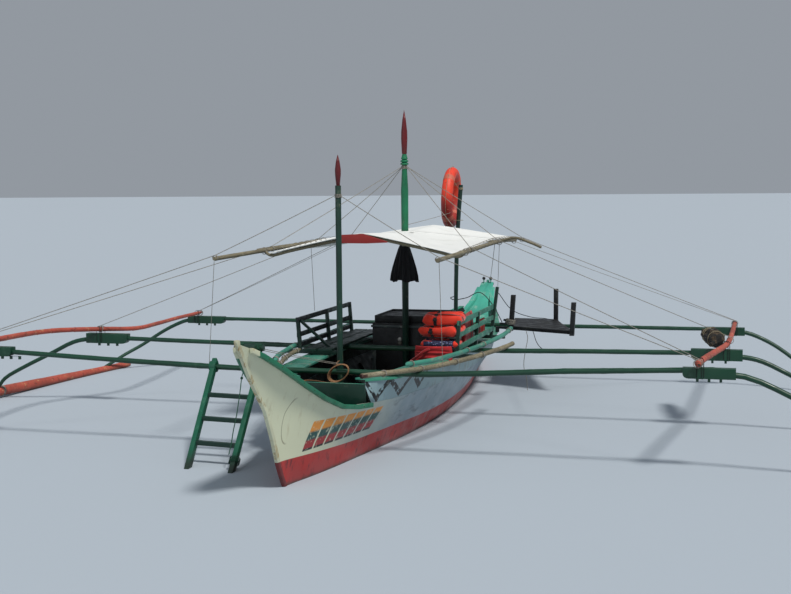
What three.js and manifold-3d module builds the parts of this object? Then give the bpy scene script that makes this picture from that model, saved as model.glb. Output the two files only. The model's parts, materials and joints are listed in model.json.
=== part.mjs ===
// Double-outrigger canoe, open wooden hull about 9.3 m long, with awning, two masts and bamboo floats.
// Units are millimetres. +X is forward, +Y is port, +Z is up.
// The origin is on the centre plane at the waterline.
import * as THREE from 'three';
import { mergeVertices } from 'three/addons/utils/BufferGeometryUtils.js';
import Module from 'manifold-3d';

const wasm = await Module();
wasm.setup();

// General sizes
const GAP = 0.3;
const PLANK = 22;
const SIDES = { port: 1, starboard: -1 };
const ROPE_RADIUS = 3.5;

// Hull form: how far the stem and the stern reach at each height, as z, x
const STEM_LINE = [[-380, 2750], [-300, 3160], [-200, 3435], [-100, 3595], [0, 3700], [236, 3855],
  [430, 3945], [730, 4125], [920, 4325], [1070, 4485], [1226, 4605], [1300, 4625]];
const STERN_LINE = [[-380, 2900], [-300, 3400], [-200, 3700], [-100, 3880], [0, 4000], [300, 4180],
  [600, 4330], [900, 4510], [1100, 4640]];

// Hull form: place along the length from stern -1 to stem 1, keel z, half breadth at z 0 and at z 200,
// sheer z, sheer half
const HULL_ROWS = [
  [-1.00, -300, 16, 16, 1020, 85],
  [-0.95, -306, 60, 66, 840, 125],
  [-0.90, -312, 100, 120, 692, 185],
  [-0.80, -325, 165, 215, 570, 290],
  [-0.70, -335, 225, 285, 510, 400],
  [-0.55, -345, 305, 375, 478, 530],
  [-0.35, -355, 405, 485, 468, 665],
  [-0.10, -360, 478, 585, 468, 735],
  [0.10, -360, 488, 610, 470, 735],
  [0.30, -358, 450, 560, 478, 685],
  [0.45, -354, 388, 462, 490, 612],
  [0.60, -348, 303, 355, 504, 508],
  [0.70, -342, 242, 280, 534, 420],
  [0.77, -336, 199, 227, 565, 355],
  [0.825, -329, 162, 184, 635, 300],
  [0.8675, -324, 128, 148, 755, 250],
  [0.90, -319, 102, 120, 880, 205],
  [0.9375, -312, 68, 82, 1065, 140],
  [0.97, -306, 37, 43, 1190, 75],
  [1.00, -300, 16, 16, 1258, 18],
];
const HULL_COLUMNS = { place: 0, keel: 1, half0: 2, half200: 3, sheer: 4, half: 5 };
const BOOT_Z = 200;
const STATIONS = 34;
const BOTTOM_POWER = 0.6;
const BOTTOM_LEVELS = [1, 0.96, 0.85, 0.65, 0.4, 0.18];
const TOP_LEVELS = [0.2, 0.45, 0.72, 1];

// Washboard and cap above the sheer: x, cap top z, cap outer half breadth
const CAP_LINE = [[-3900, 742, 248], [-3600, 708, 330], [-3000, 672, 460], [-2200, 650, 632],
  [-1000, 663, 780], [0, 677, 800], [1000, 692, 765], [1800, 708, 700], [2200, 716, 655], [2500, 722, 592],
  [2620, 724, 490], [2720, 726, 385]];
const CAP_THICK = 16;
const CAP_WIDTH = 62;
const CAP_OVERHANG = 21;
const CAP_CORNER_PLACES = [2500, 2560, 2620, 2670];
const WASH_THICK = 20;
const WASH_ENDS = { aft: -3880, fore: 2720 };
const DECK_WIDTH = 190;
const BOW_RAIL = { aft: 2736, fore: 4525 };
const STERN_RAIL = { aft: -4469, fore: -3896 };

// Cross beams: x, radius, centre z at the hull and at the ends, then the splice blocks: top z, inner and
// outer y, height, half width, and how much farther out the starboard one starts
const BEAMS = {
  front: {
    x: 2450, radius: 26, z: 748, endZ: 838, top: 882,
    inner: 3060, outer: 3490, height: 88, half: 44, inset: 0,
  },
  middle: {
    x: 500, radius: 26, z: 711, endZ: 742, top: 789,
    inner: 2970, outer: 3540, height: 108, half: 44, inset: 70,
  },
  rear: {
    x: -2200, radius: 25, z: 676, endZ: 678, top: 706,
    inner: 3045, outer: 3558, height: 92, half: 44, inset: 0,
  },
};
const PEG = { half: 11, drop: 30, places: [0.28, 0.5, 0.72] };
const BEAM_FLAT = 780;
const BEAM_END = 3330;
const BEAM_PLACES = [0, 0.234, 0.4, 0.6, 0.8, 1];

// Arms from the beam blocks out and down to the floats: x, y, z of the centre line
const ARMS = {
  front: [[2450, 3180, 834], [2450, 3560, 818], [2450, 3930, 664], [2440, 4330, 444], [2430, 4640, 266],
    [2420, 4795, 172]],
  middle: [[500, 3200, 722], [500, 3560, 716], [500, 3730, 678], [500, 3990, 554], [500, 4400, 360],
    [500, 4620, 236], [500, 4712, 130]],
  rear: [[-2200, 3250, 658], [-2200, 3570, 648], [-2195, 3760, 580], [-2160, 3940, 484], [-2060, 4170, 325],
    [-1900, 4370, 196], [-1720, 4570, 48]],
};
const ARM_RADIUS = 26;

// Floats: x, y, z, radius of the port one
const FLOAT_ROWS = [[-2230, 4530, 3, 42], [-1500, 4600, 18, 50], [-400, 4675, 52, 55], [500, 4725, 80, 57],
  [1500, 4775, 112, 57], [2450, 4800, 145, 55], [3300, 4790, 200, 48], [4000, 4767, 290, 36]];

// Spars lashed fore and aft on the blocks: x, y, z
const SPARS = {
  port: [[2640, 3185, 931], [2450, 3200, 929.5], [1500, 3290, 885], [500, 3385, 835], [-500, 3420, 806],
    [-2200, 3440, 745], [-2420, 3445, 738]],
  starboard: [[2760, 3570, 933], [2450, 3540, 929.5], [1400, 3660, 890], [950, 3610, 868], [500, 3380, 835],
    [80, 3175, 800], [-500, 3190, 792], [-1300, 3290, 778], [-2200, 3430, 745], [-2330, 3445, 742]],
};
const SPAR_RADIUS = 30;
const SPAR_TAPER = 0.9;

// Poles along the sides, a painted pole and a bamboo pole each: x, distance from the centre plane, z
const SIDE_POLES = {
  port: [[2290, 615, 804], [1950, 775, 798], [1500, 865, 790], [500, 975, 776], [-400, 1022, 776],
    [-900, 1010, 790]],
  starboard: [[2290, 615, 804], [1950, 720, 800], [1520, 806, 790], [1020, 878, 785], [520, 886, 780],
    [-400, 912, 776], [-900, 915, 784]],
};
const SIDE_POLE_RADIUS = 29;
const BAMBOO = {
  port: [[2960, 400, 806], [2640, 505, 804], [2450, 590, 802], [2110, 810, 792], [1540, 960, 775],
    [930, 1090, 768], [500, 1170, 769], [-150, 1225, 756]],
  starboard: [[2960, 400, 806], [2640, 470, 804], [2450, 515, 802], [2290, 550, 792], [1950, 655, 775],
    [1520, 740, 765], [1160, 790, 760]],
};
const BAMBOO_RADIUS = 26;

// Masts
const FOREMAST = { x: 2240, radius: 28, spikeBase: 2410, tip: 2690 };
const MAIN_MAST = { x: -60, radius: 30, spikeBase: 2748, tip: 3215 };
const AFT_POLE = { x: -2560, radius: 27, top: 2560 };
const FORE_COLLAR_Z = 2315;
const MAIN_COLLAR_Z = 2600;
const FLOOR_Z = 2;
const FLOOR_THICK = 18;

// Awning: x, ridge z, edge z
const AWNING_ROWS = [[1550, 1950, 1752], [650, 1925, 1790], [-250, 1905, 1822], [-800, 1918, 1808],
  [-1370, 1935, 1792]];
const AWNING_HALF = 940;
const AWNING_CLOTH = 6;
const AWNING_SEAM = -250;
const AWNING_SIDE_POLE = [[2690, 1025, 1766], [1500, 1012, 1780], [-250, 1000, 1800], [-1450, 960, 1764]];
const AWNING_SIDE_RADIUS = 20;
const AWNING_CROSS_RADIUS = 15;

// Cross poles of the awning beyond its edges: distance from the centre plane, z
const CROSS_ENDS = {
  front: [[1014, 1776]],
  seamPort: [[1010, 1803], [1170, 1838], [1330, 1790], [1455, 1738]],
  seamStarboard: [[1010, 1796], [1477, 1737], [1793, 1690]],
  rear: [[965, 1760]],
};

// Engine housing in the middle of the boat
const HOUSING = { front: -134, back: -904, half: 399, top: 905, wall: 18 };
const LID = {
  front: -142, back: -880, half: 375, low: 910, top: 985, wall: 16, plateLow: 950, plateTop: 965,
};
const ENGINE = { front: -200, back: -740, half: 160, bottom: -225, top: 520 };

// Shaft, propeller and rudder
const SHAFT_FROM = new THREE.Vector3(-744, 0, -130);
const SHAFT_TO = new THREE.Vector3(-3900, 0, -362);
const SHAFT_RADIUS = 14;
const SHAFT_CLEAR = 3;
const PROPELLER = { radius: 130, hub: 30, blades: 3, thick: 9, length: 70, pitch: 0.62 };
const RUDDER_LOW = new THREE.Vector3(-4137, 0, 50);
const RUDDER_HIGH = new THREE.Vector3(-4650, 0, 950);
const RUDDER_RADIUS = 18;
const YOKE = { half: 70, radius: 14, above: 45 };

// Boarding ladder hooked on the front beam: where each rail turns on the beam and meets the waterline
const LADDER = {
  inner: { y: -716, foot: [3355, -612] },
  outer: { y: -1156, foot: [3300, -1040] },
  rail: 42, depth: 60, lowZ: -220, eye: 52, eyeWidth: 30, rungHigh: 36, rungDeep: 50,
};
const RUNG_PLACES = [0.29, 0.525, 0.76, 0.995, 1.2];
const HINGE_CLEAR = 5;

// Finishes
const PAINT = {
  cream: [0xc8cebb, 0.6], teal: [0x56b59c, 0.5], darkGreen: [0x0e4a33, 0.55], green: [0x1f8360, 0.5],
  brick: [0x9c4a3a, 0.7], red: [0x8e1d22, 0.5], bamboo: [0xa39a86, 0.8], wood: [0x6d6a58, 0.8],
  black: [0x14181a, 0.6], canvas: [0xe8e8e6, 0.9], orange: [0xd8402a, 0.7], rope: [0xb9b4a4, 0.9],
  metal: [0x8a8578, 0.4], paleBlue: [0xb4c2c6, 0.6], slate: [0x3b4a4c, 0.6],
};
const METALLIC = { metal: 0.9 };

const part = new THREE.Group();
part.name = 'outrigger_canoe';

function paint(name) {
  const [color, roughness] = PAINT[name];
  return new THREE.MeshStandardMaterial({ color, roughness, metalness: METALLIC[name] ?? 0 });
}

function addNode(name, solid, finish) {
  const { vertProperties, triVerts } = solid.getMesh();
  const geometry = new THREE.BufferGeometry();
  geometry.setAttribute('position', new THREE.BufferAttribute(new Float32Array(vertProperties), 3));
  geometry.setIndex(new THREE.BufferAttribute(new Uint32Array(triVerts), 1));
  geometry.computeVertexNormals();
  const mesh = new THREE.Mesh(geometry, paint(finish));
  mesh.name = name;
  part.add(mesh);
}

// A closed geometry as a solid for cutting and joining
function toSolid(geometry) {
  const bare = geometry.clone();
  bare.deleteAttribute('normal');
  bare.deleteAttribute('uv');
  const merged = mergeVertices(bare, 1e-3);
  return new wasm.Manifold(new wasm.Mesh({
    numProp: 3,
    vertProperties: new Float32Array(merged.attributes.position.array),
    triVerts: new Uint32Array(merged.index.array),
  }));
}

function join(solids) {
  return solids.reduce((whole, next) => whole.add(next));
}

function vec(point, mirror = 1) {
  return new THREE.Vector3(point[0], point[1] * mirror, point[2]);
}

// Value of a short table at a place, on a smooth curve through its rows
function curveValue(rows, place, column = 1) {
  const last = rows.length - 1;
  if (place <= rows[0][0]) return rows[0][column];
  if (place >= rows[last][0]) return rows[last][column];
  let i = 0;
  while (rows[i + 1][0] < place) i += 1;
  const [before, from, to, after] = [Math.max(i - 1, 0), i, i + 1, Math.min(i + 2, last)].map((k) => rows[k]);
  const width = to[0] - from[0];
  const t = (place - from[0]) / width;
  const slopeFrom = ((to[column] - before[column]) / (to[0] - before[0])) * width;
  const slopeTo = ((after[column] - from[column]) / (after[0] - from[0])) * width;
  const t2 = t * t;
  const t3 = t2 * t;
  return (2 * t3 - 3 * t2 + 1) * from[column] + (t3 - 2 * t2 + t) * slopeFrom
    + (3 * t2 - 2 * t3) * to[column] + (t3 - t2) * slopeTo;
}

// Closed solid through rings of equally many points, capped by strips between the end rings' points
function loftSolid(rings) {
  const count = rings[0].length;
  const positions = rings.flat().flatMap((p) => [p.x, p.y, p.z]);
  const index = [];
  for (let r = 0; r < rings.length - 1; r += 1) {
    for (let i = 0; i < count; i += 1) {
      const a = r * count + i;
      const b = r * count + ((i + 1) % count);
      const [pa, pb] = [rings[r][i], rings[r][(i + 1) % count]];
      const [qa, qb] = [rings[r + 1][i], rings[r + 1][(i + 1) % count]];
      if (pa.distanceTo(qb) <= pb.distanceTo(qa)) index.push(a, b, b + count, a, b + count, a + count);
      else index.push(a, b, a + count, b, b + count, a + count);
    }
  }
  const lastStart = (rings.length - 1) * count;
  for (let i = 0, j = count - 1; i + 1 < j; i += 1, j -= 1) {
    index.push(i, j, i + 1);
    index.push(lastStart + i, lastStart + i + 1, lastStart + j);
    if (i + 2 < j) {
      index.push(i + 1, j, j - 1);
      index.push(lastStart + i + 1, lastStart + j - 1, lastStart + j);
    }
  }
  const geometry = new THREE.BufferGeometry();
  geometry.setAttribute('position', new THREE.Float32BufferAttribute(positions, 3));
  geometry.setIndex(signedVolume(positions, index) < 0 ? index.reverse() : index);
  return toSolid(geometry);
}

function signedVolume(positions, index) {
  const corner = (i) => new THREE.Vector3().fromArray(positions, i * 3);
  let total = 0;
  for (let i = 0; i < index.length; i += 3) {
    total += corner(index[i]).dot(corner(index[i + 1]).cross(corner(index[i + 2])));
  }
  return total;
}

// Round pole along a smooth line, with a radius for each point
function pole(points, radii, sides = 10, stepsPerSpan = 3) {
  const curve = new THREE.CatmullRomCurve3(points, false, 'centripetal');
  const steps = (points.length - 1) * stepsPerSpan;
  const rings = [];
  for (let i = 0; i <= steps; i += 1) {
    const at = i / steps;
    const centre = curve.getPoint(at);
    const along = curve.getTangent(at);
    const across = new THREE.Vector3().crossVectors(Math.abs(along.z) > 0.8 ? new THREE.Vector3(1, 0, 0)
      : new THREE.Vector3(0, 0, 1), along).normalize();
    const up = new THREE.Vector3().crossVectors(along, across);
    const span = Math.min(Math.floor(at * (points.length - 1)), points.length - 2);
    const part01 = at * (points.length - 1) - span;
    const radius = THREE.MathUtils.lerp(radii[span], radii[span + 1], part01);
    rings.push(Array.from({ length: sides }, (_, k) => {
      const angle = (2 * Math.PI * k) / sides;
      return centre.clone().addScaledVector(across, radius * Math.cos(angle))
        .addScaledVector(up, radius * Math.sin(angle));
    }));
  }
  return loftSolid(rings);
}

function evenPole(points, radius, sides = 10, stepsPerSpan = 3) {
  return pole(points, points.map(() => radius), sides, stepsPerSpan);
}

function rod(from, to, radius, sides = 12, endRadius = radius) {
  const geometry = new THREE.CylinderGeometry(endRadius, radius, from.distanceTo(to), sides);
  const along = to.clone().sub(from).normalize();
  const turn = new THREE.Quaternion().setFromUnitVectors(new THREE.Vector3(0, 1, 0), along);
  geometry.applyQuaternion(turn);
  geometry.translate((from.x + to.x) / 2, (from.y + to.y) / 2, (from.z + to.z) / 2);
  return toSolid(geometry);
}

function box(x0, x1, y0, y1, z0, z1) {
  const geometry = new THREE.BoxGeometry(Math.abs(x1 - x0), Math.abs(y1 - y0), Math.abs(z1 - z0));
  geometry.translate((x0 + x1) / 2, (y0 + y1) / 2, (z0 + z1) / 2);
  return toSolid(geometry);
}

// Straight board between two points, with its width level and its depth square to its run
function board(from, to, width, depth, levelDirection = new THREE.Vector3(0, 1, 0)) {
  const run = to.clone().sub(from);
  const geometry = new THREE.BoxGeometry(run.length(), width, depth);
  const along = run.normalize();
  const across = levelDirection.clone().addScaledVector(along, -levelDirection.dot(along)).normalize();
  const up = new THREE.Vector3().crossVectors(along, across);
  geometry.applyMatrix4(new THREE.Matrix4().makeBasis(along, across, up));
  geometry.translate((from.x + to.x) / 2, (from.y + to.y) / 2, (from.z + to.z) / 2);
  return toSolid(geometry);
}

// Outline in the XZ plane given a thickness along Y
function plateXZ(outline, thick) {
  const shape = new THREE.Shape(outline.map(([x, z]) => new THREE.Vector2(x, z)));
  const geometry = new THREE.ExtrudeGeometry(shape, { depth: thick, bevelEnabled: false });
  geometry.rotateX(Math.PI / 2);
  geometry.translate(0, thick / 2, 0);
  return toSolid(geometry);
}

// Outline in the XY plane between two heights
function slab(outline, low, high) {
  const shape = new THREE.Shape(outline.map(([x, y]) => new THREE.Vector2(x, y)));
  const geometry = new THREE.ExtrudeGeometry(shape, { depth: high - low, bevelEnabled: false });
  geometry.translate(0, 0, low);
  return toSolid(geometry);
}

// Shape in the YZ plane between two x places
function plateYZ(shape, fromX, toX) {
  const depth = toX - fromX;
  const geometry = new THREE.ExtrudeGeometry(shape, { depth, bevelEnabled: false, curveSegments: 5 });
  geometry.rotateX(Math.PI / 2);
  geometry.rotateZ(Math.PI / 2);
  geometry.translate(fromX, 0, 0);
  return toSolid(geometry);
}

function endReach(z, forward) {
  return curveValue(forward ? STEM_LINE : STERN_LINE, z);
}

function hullValue(place, name) {
  return curveValue(HULL_ROWS, place, HULL_COLUMNS[name]);
}

// Half breadth of the outer skin at a place along the length and a height
function halfAtPlace(place, z) {
  const keel = hullValue(place, 'keel');
  const half0 = hullValue(place, 'half0');
  const half200 = hullValue(place, 'half200');
  if (z <= 0) return Math.max(half0 * (1 - Math.min(z / keel, 1)) ** BOTTOM_POWER, 8);
  if (z <= BOOT_Z) return THREE.MathUtils.lerp(half0, half200, z / BOOT_Z);
  const sheer = hullValue(place, 'sheer');
  return THREE.MathUtils.lerp(half200, hullValue(place, 'half'), (z - BOOT_Z) / (sheer - BOOT_Z));
}

function halfAt(x, z) {
  return halfAtPlace(x / endReach(z, x >= 0), z);
}

// Sheer height and half breadth at an x, found by following the sheer line
const HULL_PLACES = Array.from({ length: STATIONS + 1 }, (_, i) => Math.sin((i / STATIONS - 0.5) * Math.PI));
const SHEER = HULL_PLACES.map((place) => {
  const z = hullValue(place, 'sheer');
  return { x: place * endReach(z, place >= 0), z, half: hullValue(place, 'half') };
});

function sheerAt(x) {
  const next = Math.max(SHEER.findIndex((row) => row.x >= x), 1);
  const [from, to] = [SHEER[next - 1], SHEER[next]];
  const t = (x - from.x) / (to.x - from.x);
  return { z: THREE.MathUtils.lerp(from.z, to.z, t), half: THREE.MathUtils.lerp(from.half, to.half, t) };
}

// Places along the sheer between two ends, with the hull's own stations so that pieces lie on its edge
function sheerStations(fromX, toX) {
  return [fromX, ...SHEER.map((row) => row.x).filter((x) => x > fromX + 1 && x < toX - 1), toX];
}

function capTop(x) {
  return curveValue(CAP_LINE, x, 1);
}

function capOuter(x) {
  return curveValue(CAP_LINE, x, 2);
}

function capStations(fromX, toX) {
  const corners = CAP_CORNER_PLACES.filter((x) => x < toX - 1);
  return [...sheerStations(fromX, toX), ...corners].sort((a, b) => a - b);
}

function ringLevels(place, lift) {
  const keel = hullValue(place, 'keel') + lift;
  const sheer = hullValue(place, 'sheer');
  const top = TOP_LEVELS.map((t) => BOOT_Z + t * (sheer - BOOT_Z));
  return [...BOTTOM_LEVELS.map((u) => u * keel), 0, 100, BOOT_Z, ...top];
}

function hullRing(place, inset, lift, topExtra) {
  const keel = hullValue(place, 'keel') + lift;
  const levels = ringLevels(place, lift);
  const side = levels.map((z) => {
    const x = place * endReach(z, place >= 0);
    return [x, Math.max(halfAtPlace(place, z - (z < 0 ? lift * (z / keel) : 0)) - inset, 4), z];
  });
  side[0][1] = Math.max(14 - inset * 0.4, 4);
  if (topExtra) {
    const [x, y, z] = side[side.length - 1];
    side.push([x, y + topExtra * 0.25, z + topExtra]);
  }
  return [...side.slice().reverse().map((p) => vec(p)), ...side.map((p) => vec(p, -1))];
}

function hullShell() {
  const outer = loftSolid(HULL_PLACES.map((place) => hullRing(place, 0, 0, 0)));
  const inner = loftSolid(HULL_PLACES.filter((place) => Math.abs(place) < 0.975)
    .map((place) => hullRing(place, PLANK + 3, PLANK + 8, 260)));
  return outer.subtract(inner).subtract(shaftBore());
}

function shaftBore() {
  return rod(SHAFT_FROM, SHAFT_TO, SHAFT_RADIUS + SHAFT_CLEAR, 14);
}

// Bar that follows the stem or the stern, outside the end of the planking
function endPost(forward, above, depth) {
  const sign = forward ? 1 : -1;
  const levels = ringLevels(sign, 0);
  const rings = [...levels, levels[levels.length - 1] + above].map((z) => {
    const reach = sign * (endReach(z, forward) + GAP);
    return [[reach, 20], [reach + sign * depth, 15], [reach + sign * depth, -15], [reach, -20]]
      .map(([x, y]) => new THREE.Vector3(x, y, z));
  });
  return loftSolid(rings);
}

function keelBar() {
  const rings = HULL_PLACES.filter((place) => place > -0.85 && place < 0.9).map((place) => {
    const keel = hullValue(place, 'keel');
    const x = place * endReach(keel, place >= 0);
    return [[-14, -GAP], [-12, -48], [12, -48], [14, -GAP]].map(([y, dz]) => vec([x, y, keel + dz]));
  });
  return loftSolid(rings);
}

// Rail along the outside of the sheer between two x places
function sheerRail(fromX, toX, mirror) {
  const rings = sheerStations(fromX, toX).map((x) => {
    const { z, half } = sheerAt(x);
    return [[0.5, 3], [32, 3], [30, -36], [0.5, -38]].map(([dy, dz]) => vec([x, half + dy, z + dz], mirror));
  });
  return loftSolid(rings);
}

// Raised side plank with its cap
function washboard(mirror) {
  const stations = capStations(WASH_ENDS.aft, WASH_ENDS.fore);
  const plank = loftSolid(stations.map((x) => {
    const sheer = sheerAt(x);
    const low = sheer.z + GAP;
    const high = capTop(x) - 4;
    const [foot, head] = [sheer.half - 2, capOuter(x) - CAP_OVERHANG];
    return [[foot, low], [head, high], [head - WASH_THICK, high], [foot - WASH_THICK, low]]
      .map(([y, z]) => vec([x, y, z], mirror));
  }));
  const cap = loftSolid(stations.map((x) => {
    const [top, outer] = [capTop(x), capOuter(x)];
    return [[-CAP_WIDTH, -CAP_THICK], [-CAP_WIDTH, 0], [0, 0], [0, -CAP_THICK]]
      .map(([dy, dz]) => vec([x, outer + dy, top + dz], mirror));
  }));
  return plank.add(cap);
}

// Flat side deck plank inside the washboard
function sideDeck(mirror) {
  return loftSolid(capStations(-2650, 2600).map((x) => {
    const [top, outer] = [capTop(x), capOuter(x) - CAP_WIDTH - 1];
    return [[outer - DECK_WIDTH, top - 20], [outer - DECK_WIDTH, top], [outer, top], [outer, top - 20]]
      .map(([y, z]) => vec([x, y, z], mirror));
  }));
}

// Level board that fills the hull's width between two x places, at a height set by a rule
function innerBoard(fromX, toX, steps, heightAt, thick, clear) {
  const rings = Array.from({ length: steps + 1 }, (_, i) => {
    const x = THREE.MathUtils.lerp(fromX, toX, i / steps);
    const z = heightAt(x);
    const half = Math.max(Math.min(halfAt(x, z), halfAt(x, z + thick)) - PLANK - 3 - clear, 8);
    return [[half, z], [half, z + thick], [-half, z + thick], [-half, z]]
      .map(([y, h]) => new THREE.Vector3(x, y, h));
  });
  return loftSolid(rings);
}

function floorboards() {
  const plain = innerBoard(-2900, 2400, 24, () => FLOOR_Z, FLOOR_THICK, 8);
  const opening = box(HOUSING.front - 30, HOUSING.back + 30, -HOUSING.half + 40, HOUSING.half - 40, -50, 80);
  return plain.subtract(opening);
}

// Board across the front of the cockpit, from the bilge up to just under the washboard caps
const COAMING = { x: 2732, thick: 24, half: 388, top: 694, heights: [60, 200, 330, 450, 500] };

function coamingBoard() {
  const { x, thick, half, top, heights } = COAMING;
  const side = heights.map((z) => [halfAt(x + thick, z) - PLANK - 7, z]);
  const sheer = sheerAt(x + thick);
  side.push([sheer.half - PLANK - 9, sheer.z + 2], [half, top]);
  const ring = (at) => [...side.map(([y, z]) => new THREE.Vector3(at, y, z)),
    ...side.slice().reverse().map(([y, z]) => new THREE.Vector3(at, -y, z))];
  return loftSolid([ring(x), ring(x + thick)]);
}

// Post bar across the bow on which the mooring line is made fast
const BITT = { x: 4330, half: 118, z: 1176, radius: 24, chock: 38 };

function bowBitt() {
  const { x, half, z, radius, chock } = BITT;
  const bar = rod(new THREE.Vector3(x, -half, z), new THREE.Vector3(x, half, z), radius);
  const base = plateXZ([[x - chock, sheerAt(x - chock).z + 2], [x + chock, sheerAt(x + chock).z + 2],
    [x + chock, z], [x - chock, z]], 90);
  return bar.add(base);
}

// Cross beam: level over the hull and then rising to its ends
function beamZ(beam, y) {
  const rise = beam.endZ - beam.z;
  return beam.z + rise * Math.max(0, (Math.abs(y) - BEAM_FLAT) / (BEAM_END - BEAM_FLAT)) ** 1.25;
}

function crossBeam(beam, extra) {
  const places = [...BEAM_PLACES.slice(1).reverse().map((at) => -at), ...BEAM_PLACES];
  const reach = BEAM_END + extra;
  const points = places.map((at) => new THREE.Vector3(beam.x, at * reach, beamZ(beam, at * reach)));
  return pole(points, places.map((at) => beam.radius - 3 * Math.abs(at) + extra), 12, 1);
}

// Splice block with a rounded inner lower corner and three pegs through it
function spliceBlock(beam, mirror) {
  const inner = beam.inner + (mirror < 0 ? beam.inset : 0);
  const low = beam.top - beam.height;
  const round = beam.height * 0.6;
  const shape = new THREE.Shape();
  shape.moveTo(mirror * inner, beam.top);
  shape.lineTo(mirror * beam.outer, beam.top);
  shape.lineTo(mirror * beam.outer, low);
  shape.lineTo(mirror * (inner + round), low);
  shape.quadraticCurveTo(mirror * inner, low, mirror * inner, low + round);
  const pegs = PEG.places.map((at) => {
    const y = mirror * THREE.MathUtils.lerp(inner, beam.outer, at);
    return box(beam.x - PEG.half, beam.x + PEG.half, y - PEG.half, y + PEG.half,
      low - PEG.drop, low + PEG.drop);
  });
  return join([plateYZ(shape, beam.x - beam.half, beam.x + beam.half), ...pegs]);
}

// Splice block on the end of a beam with the arm that bends down to the float
function arm(name, mirror) {
  const beam = BEAMS[name];
  const points = ARMS[name].map((p) => vec(p, mirror));
  const bend = pole(points, points.map((_, i) => ARM_RADIUS - i), 10, 3);
  return spliceBlock(beam, mirror).add(bend).subtract(crossBeam(beam, GAP)).subtract(floatPole(mirror, GAP));
}

function floatPole(mirror, extra) {
  return pole(FLOAT_ROWS.map((row) => vec(row, mirror)), FLOAT_ROWS.map((row) => row[3] + extra), 12, 2);
}

function spar(side) {
  const points = SPARS[side].map((p) => vec(p, SIDES[side]));
  return pole(points, points.map((_, i) => SPAR_RADIUS - i * SPAR_TAPER), 10, 3);
}

// Bench: seat planks, backrest posts and rails, with its cross bars under the side poles
const BENCH = {
  fore: 1040, aft: -700, y: 830, topZ: 1072, lean: 14, railDepth: 46, post: 34, seatZ: 742, seatIn: 470,
  seatOut: 780, barZ: { fore: 742, aft: 728 }, barIn: 430, barOut: 975,
};
const BENCH_RAILS = { port: [1050, 930, 806], starboard: [1050, 895, 790] };
const TALL_POST = { lean: 58, top: 1270 };

function bench(side) {
  const mirror = SIDES[side];
  const pieces = [];
  for (const end of ['fore', 'aft']) {
    const x = BENCH[end];
    const top = BENCH.barZ[end];
    pieces.push(box(x - 24, x + 24, mirror * BENCH.barIn, mirror * BENCH.barOut, top - 34, top));
  }
  for (const [inner, outer] of [[BENCH.seatIn, BENCH.seatIn + 150], [BENCH.seatIn + 165, BENCH.seatOut]]) {
    pieces.push(box(BENCH.aft - 30, BENCH.fore + 40, mirror * inner, mirror * outer,
      BENCH.seatZ - 4, BENCH.seatZ + 18));
  }
  for (const x of [BENCH.fore, 120, BENCH.aft]) {
    const tall = side === 'port' && x === BENCH.aft;
    const foot = new THREE.Vector3(x, mirror * (BENCH.y - BENCH.lean), BENCH.barZ.aft - 20);
    const head = new THREE.Vector3(x, mirror * (BENCH.y + BENCH.lean), BENCH.topZ);
    if (tall) head.set(x - 14, BENCH.y + TALL_POST.lean, TALL_POST.top);
    pieces.push(board(foot, head, 36, BENCH.post, new THREE.Vector3(1, 0, 0)));
  }
  for (const z of BENCH_RAILS[side]) {
    const y = mirror * (BENCH.y + BENCH.lean * 0.6);
    const half = BENCH.railDepth / 2;
    pieces.push(box(BENCH.aft - 20, BENCH.fore + 20, y - 11, y + 11, z - half, z + half));
  }
  const braceTop = new THREE.Vector3(BENCH.fore - 20, mirror * (BENCH.y - 6), BENCH.topZ - 30);
  const braceFoot = new THREE.Vector3(BENCH.fore - 180, mirror * 560, BENCH.seatZ + 8);
  pieces.push(board(braceTop, braceFoot, 40, 20, new THREE.Vector3(1, 0, 0)));
  return join(pieces).subtract(sidePole(side, GAP)).subtract(bambooPole(side, GAP))
    .subtract(crossBeam(BEAMS.middle, GAP));
}

function sidePole(side, extra) {
  return evenPole(SIDE_POLES[side].map((p) => vec(p, SIDES[side])), SIDE_POLE_RADIUS + extra, 10, 3);
}

function bambooPole(side, extra) {
  return evenPole(BAMBOO[side].map((p) => vec(p, SIDES[side])), BAMBOO_RADIUS + extra, 10, 3);
}

// Slatted platform outboard on the port quarter: corners in plan, slats, carriers, posts and its foot
const PLATFORM = {
  foreInner: [-1500, 910], foreOuter: [-1150, 1680], aftInner: [-2450, 780], aftOuter: [-2400, 1310],
  top: 742, thick: 16, slats: 6, slatGap: 0.025, carrier: 26, carrierHalf: 0.02,
  carrierPlaces: [0.03, 0.5, 0.97], inboard: -0.28, post: 40, postTop: 1110,
};

// Point in the platform's plan, from fore 0 to aft 1 and from inner 0 to outer 1
function platformPoint(along, across) {
  const edge = (from, to) => [0, 1].map((i) => THREE.MathUtils.lerp(from[i], to[i], across));
  const fore = edge(PLATFORM.foreInner, PLATFORM.foreOuter);
  const aft = edge(PLATFORM.aftInner, PLATFORM.aftOuter);
  return [0, 1].map((i) => THREE.MathUtils.lerp(fore[i], aft[i], along));
}

function platformSlab(along, across, low, high) {
  const corners = [[0, 0], [0, 1], [1, 1], [1, 0]].map(([i, j]) => platformPoint(along[i], across[j]));
  return slab(corners, low, high);
}

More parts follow.
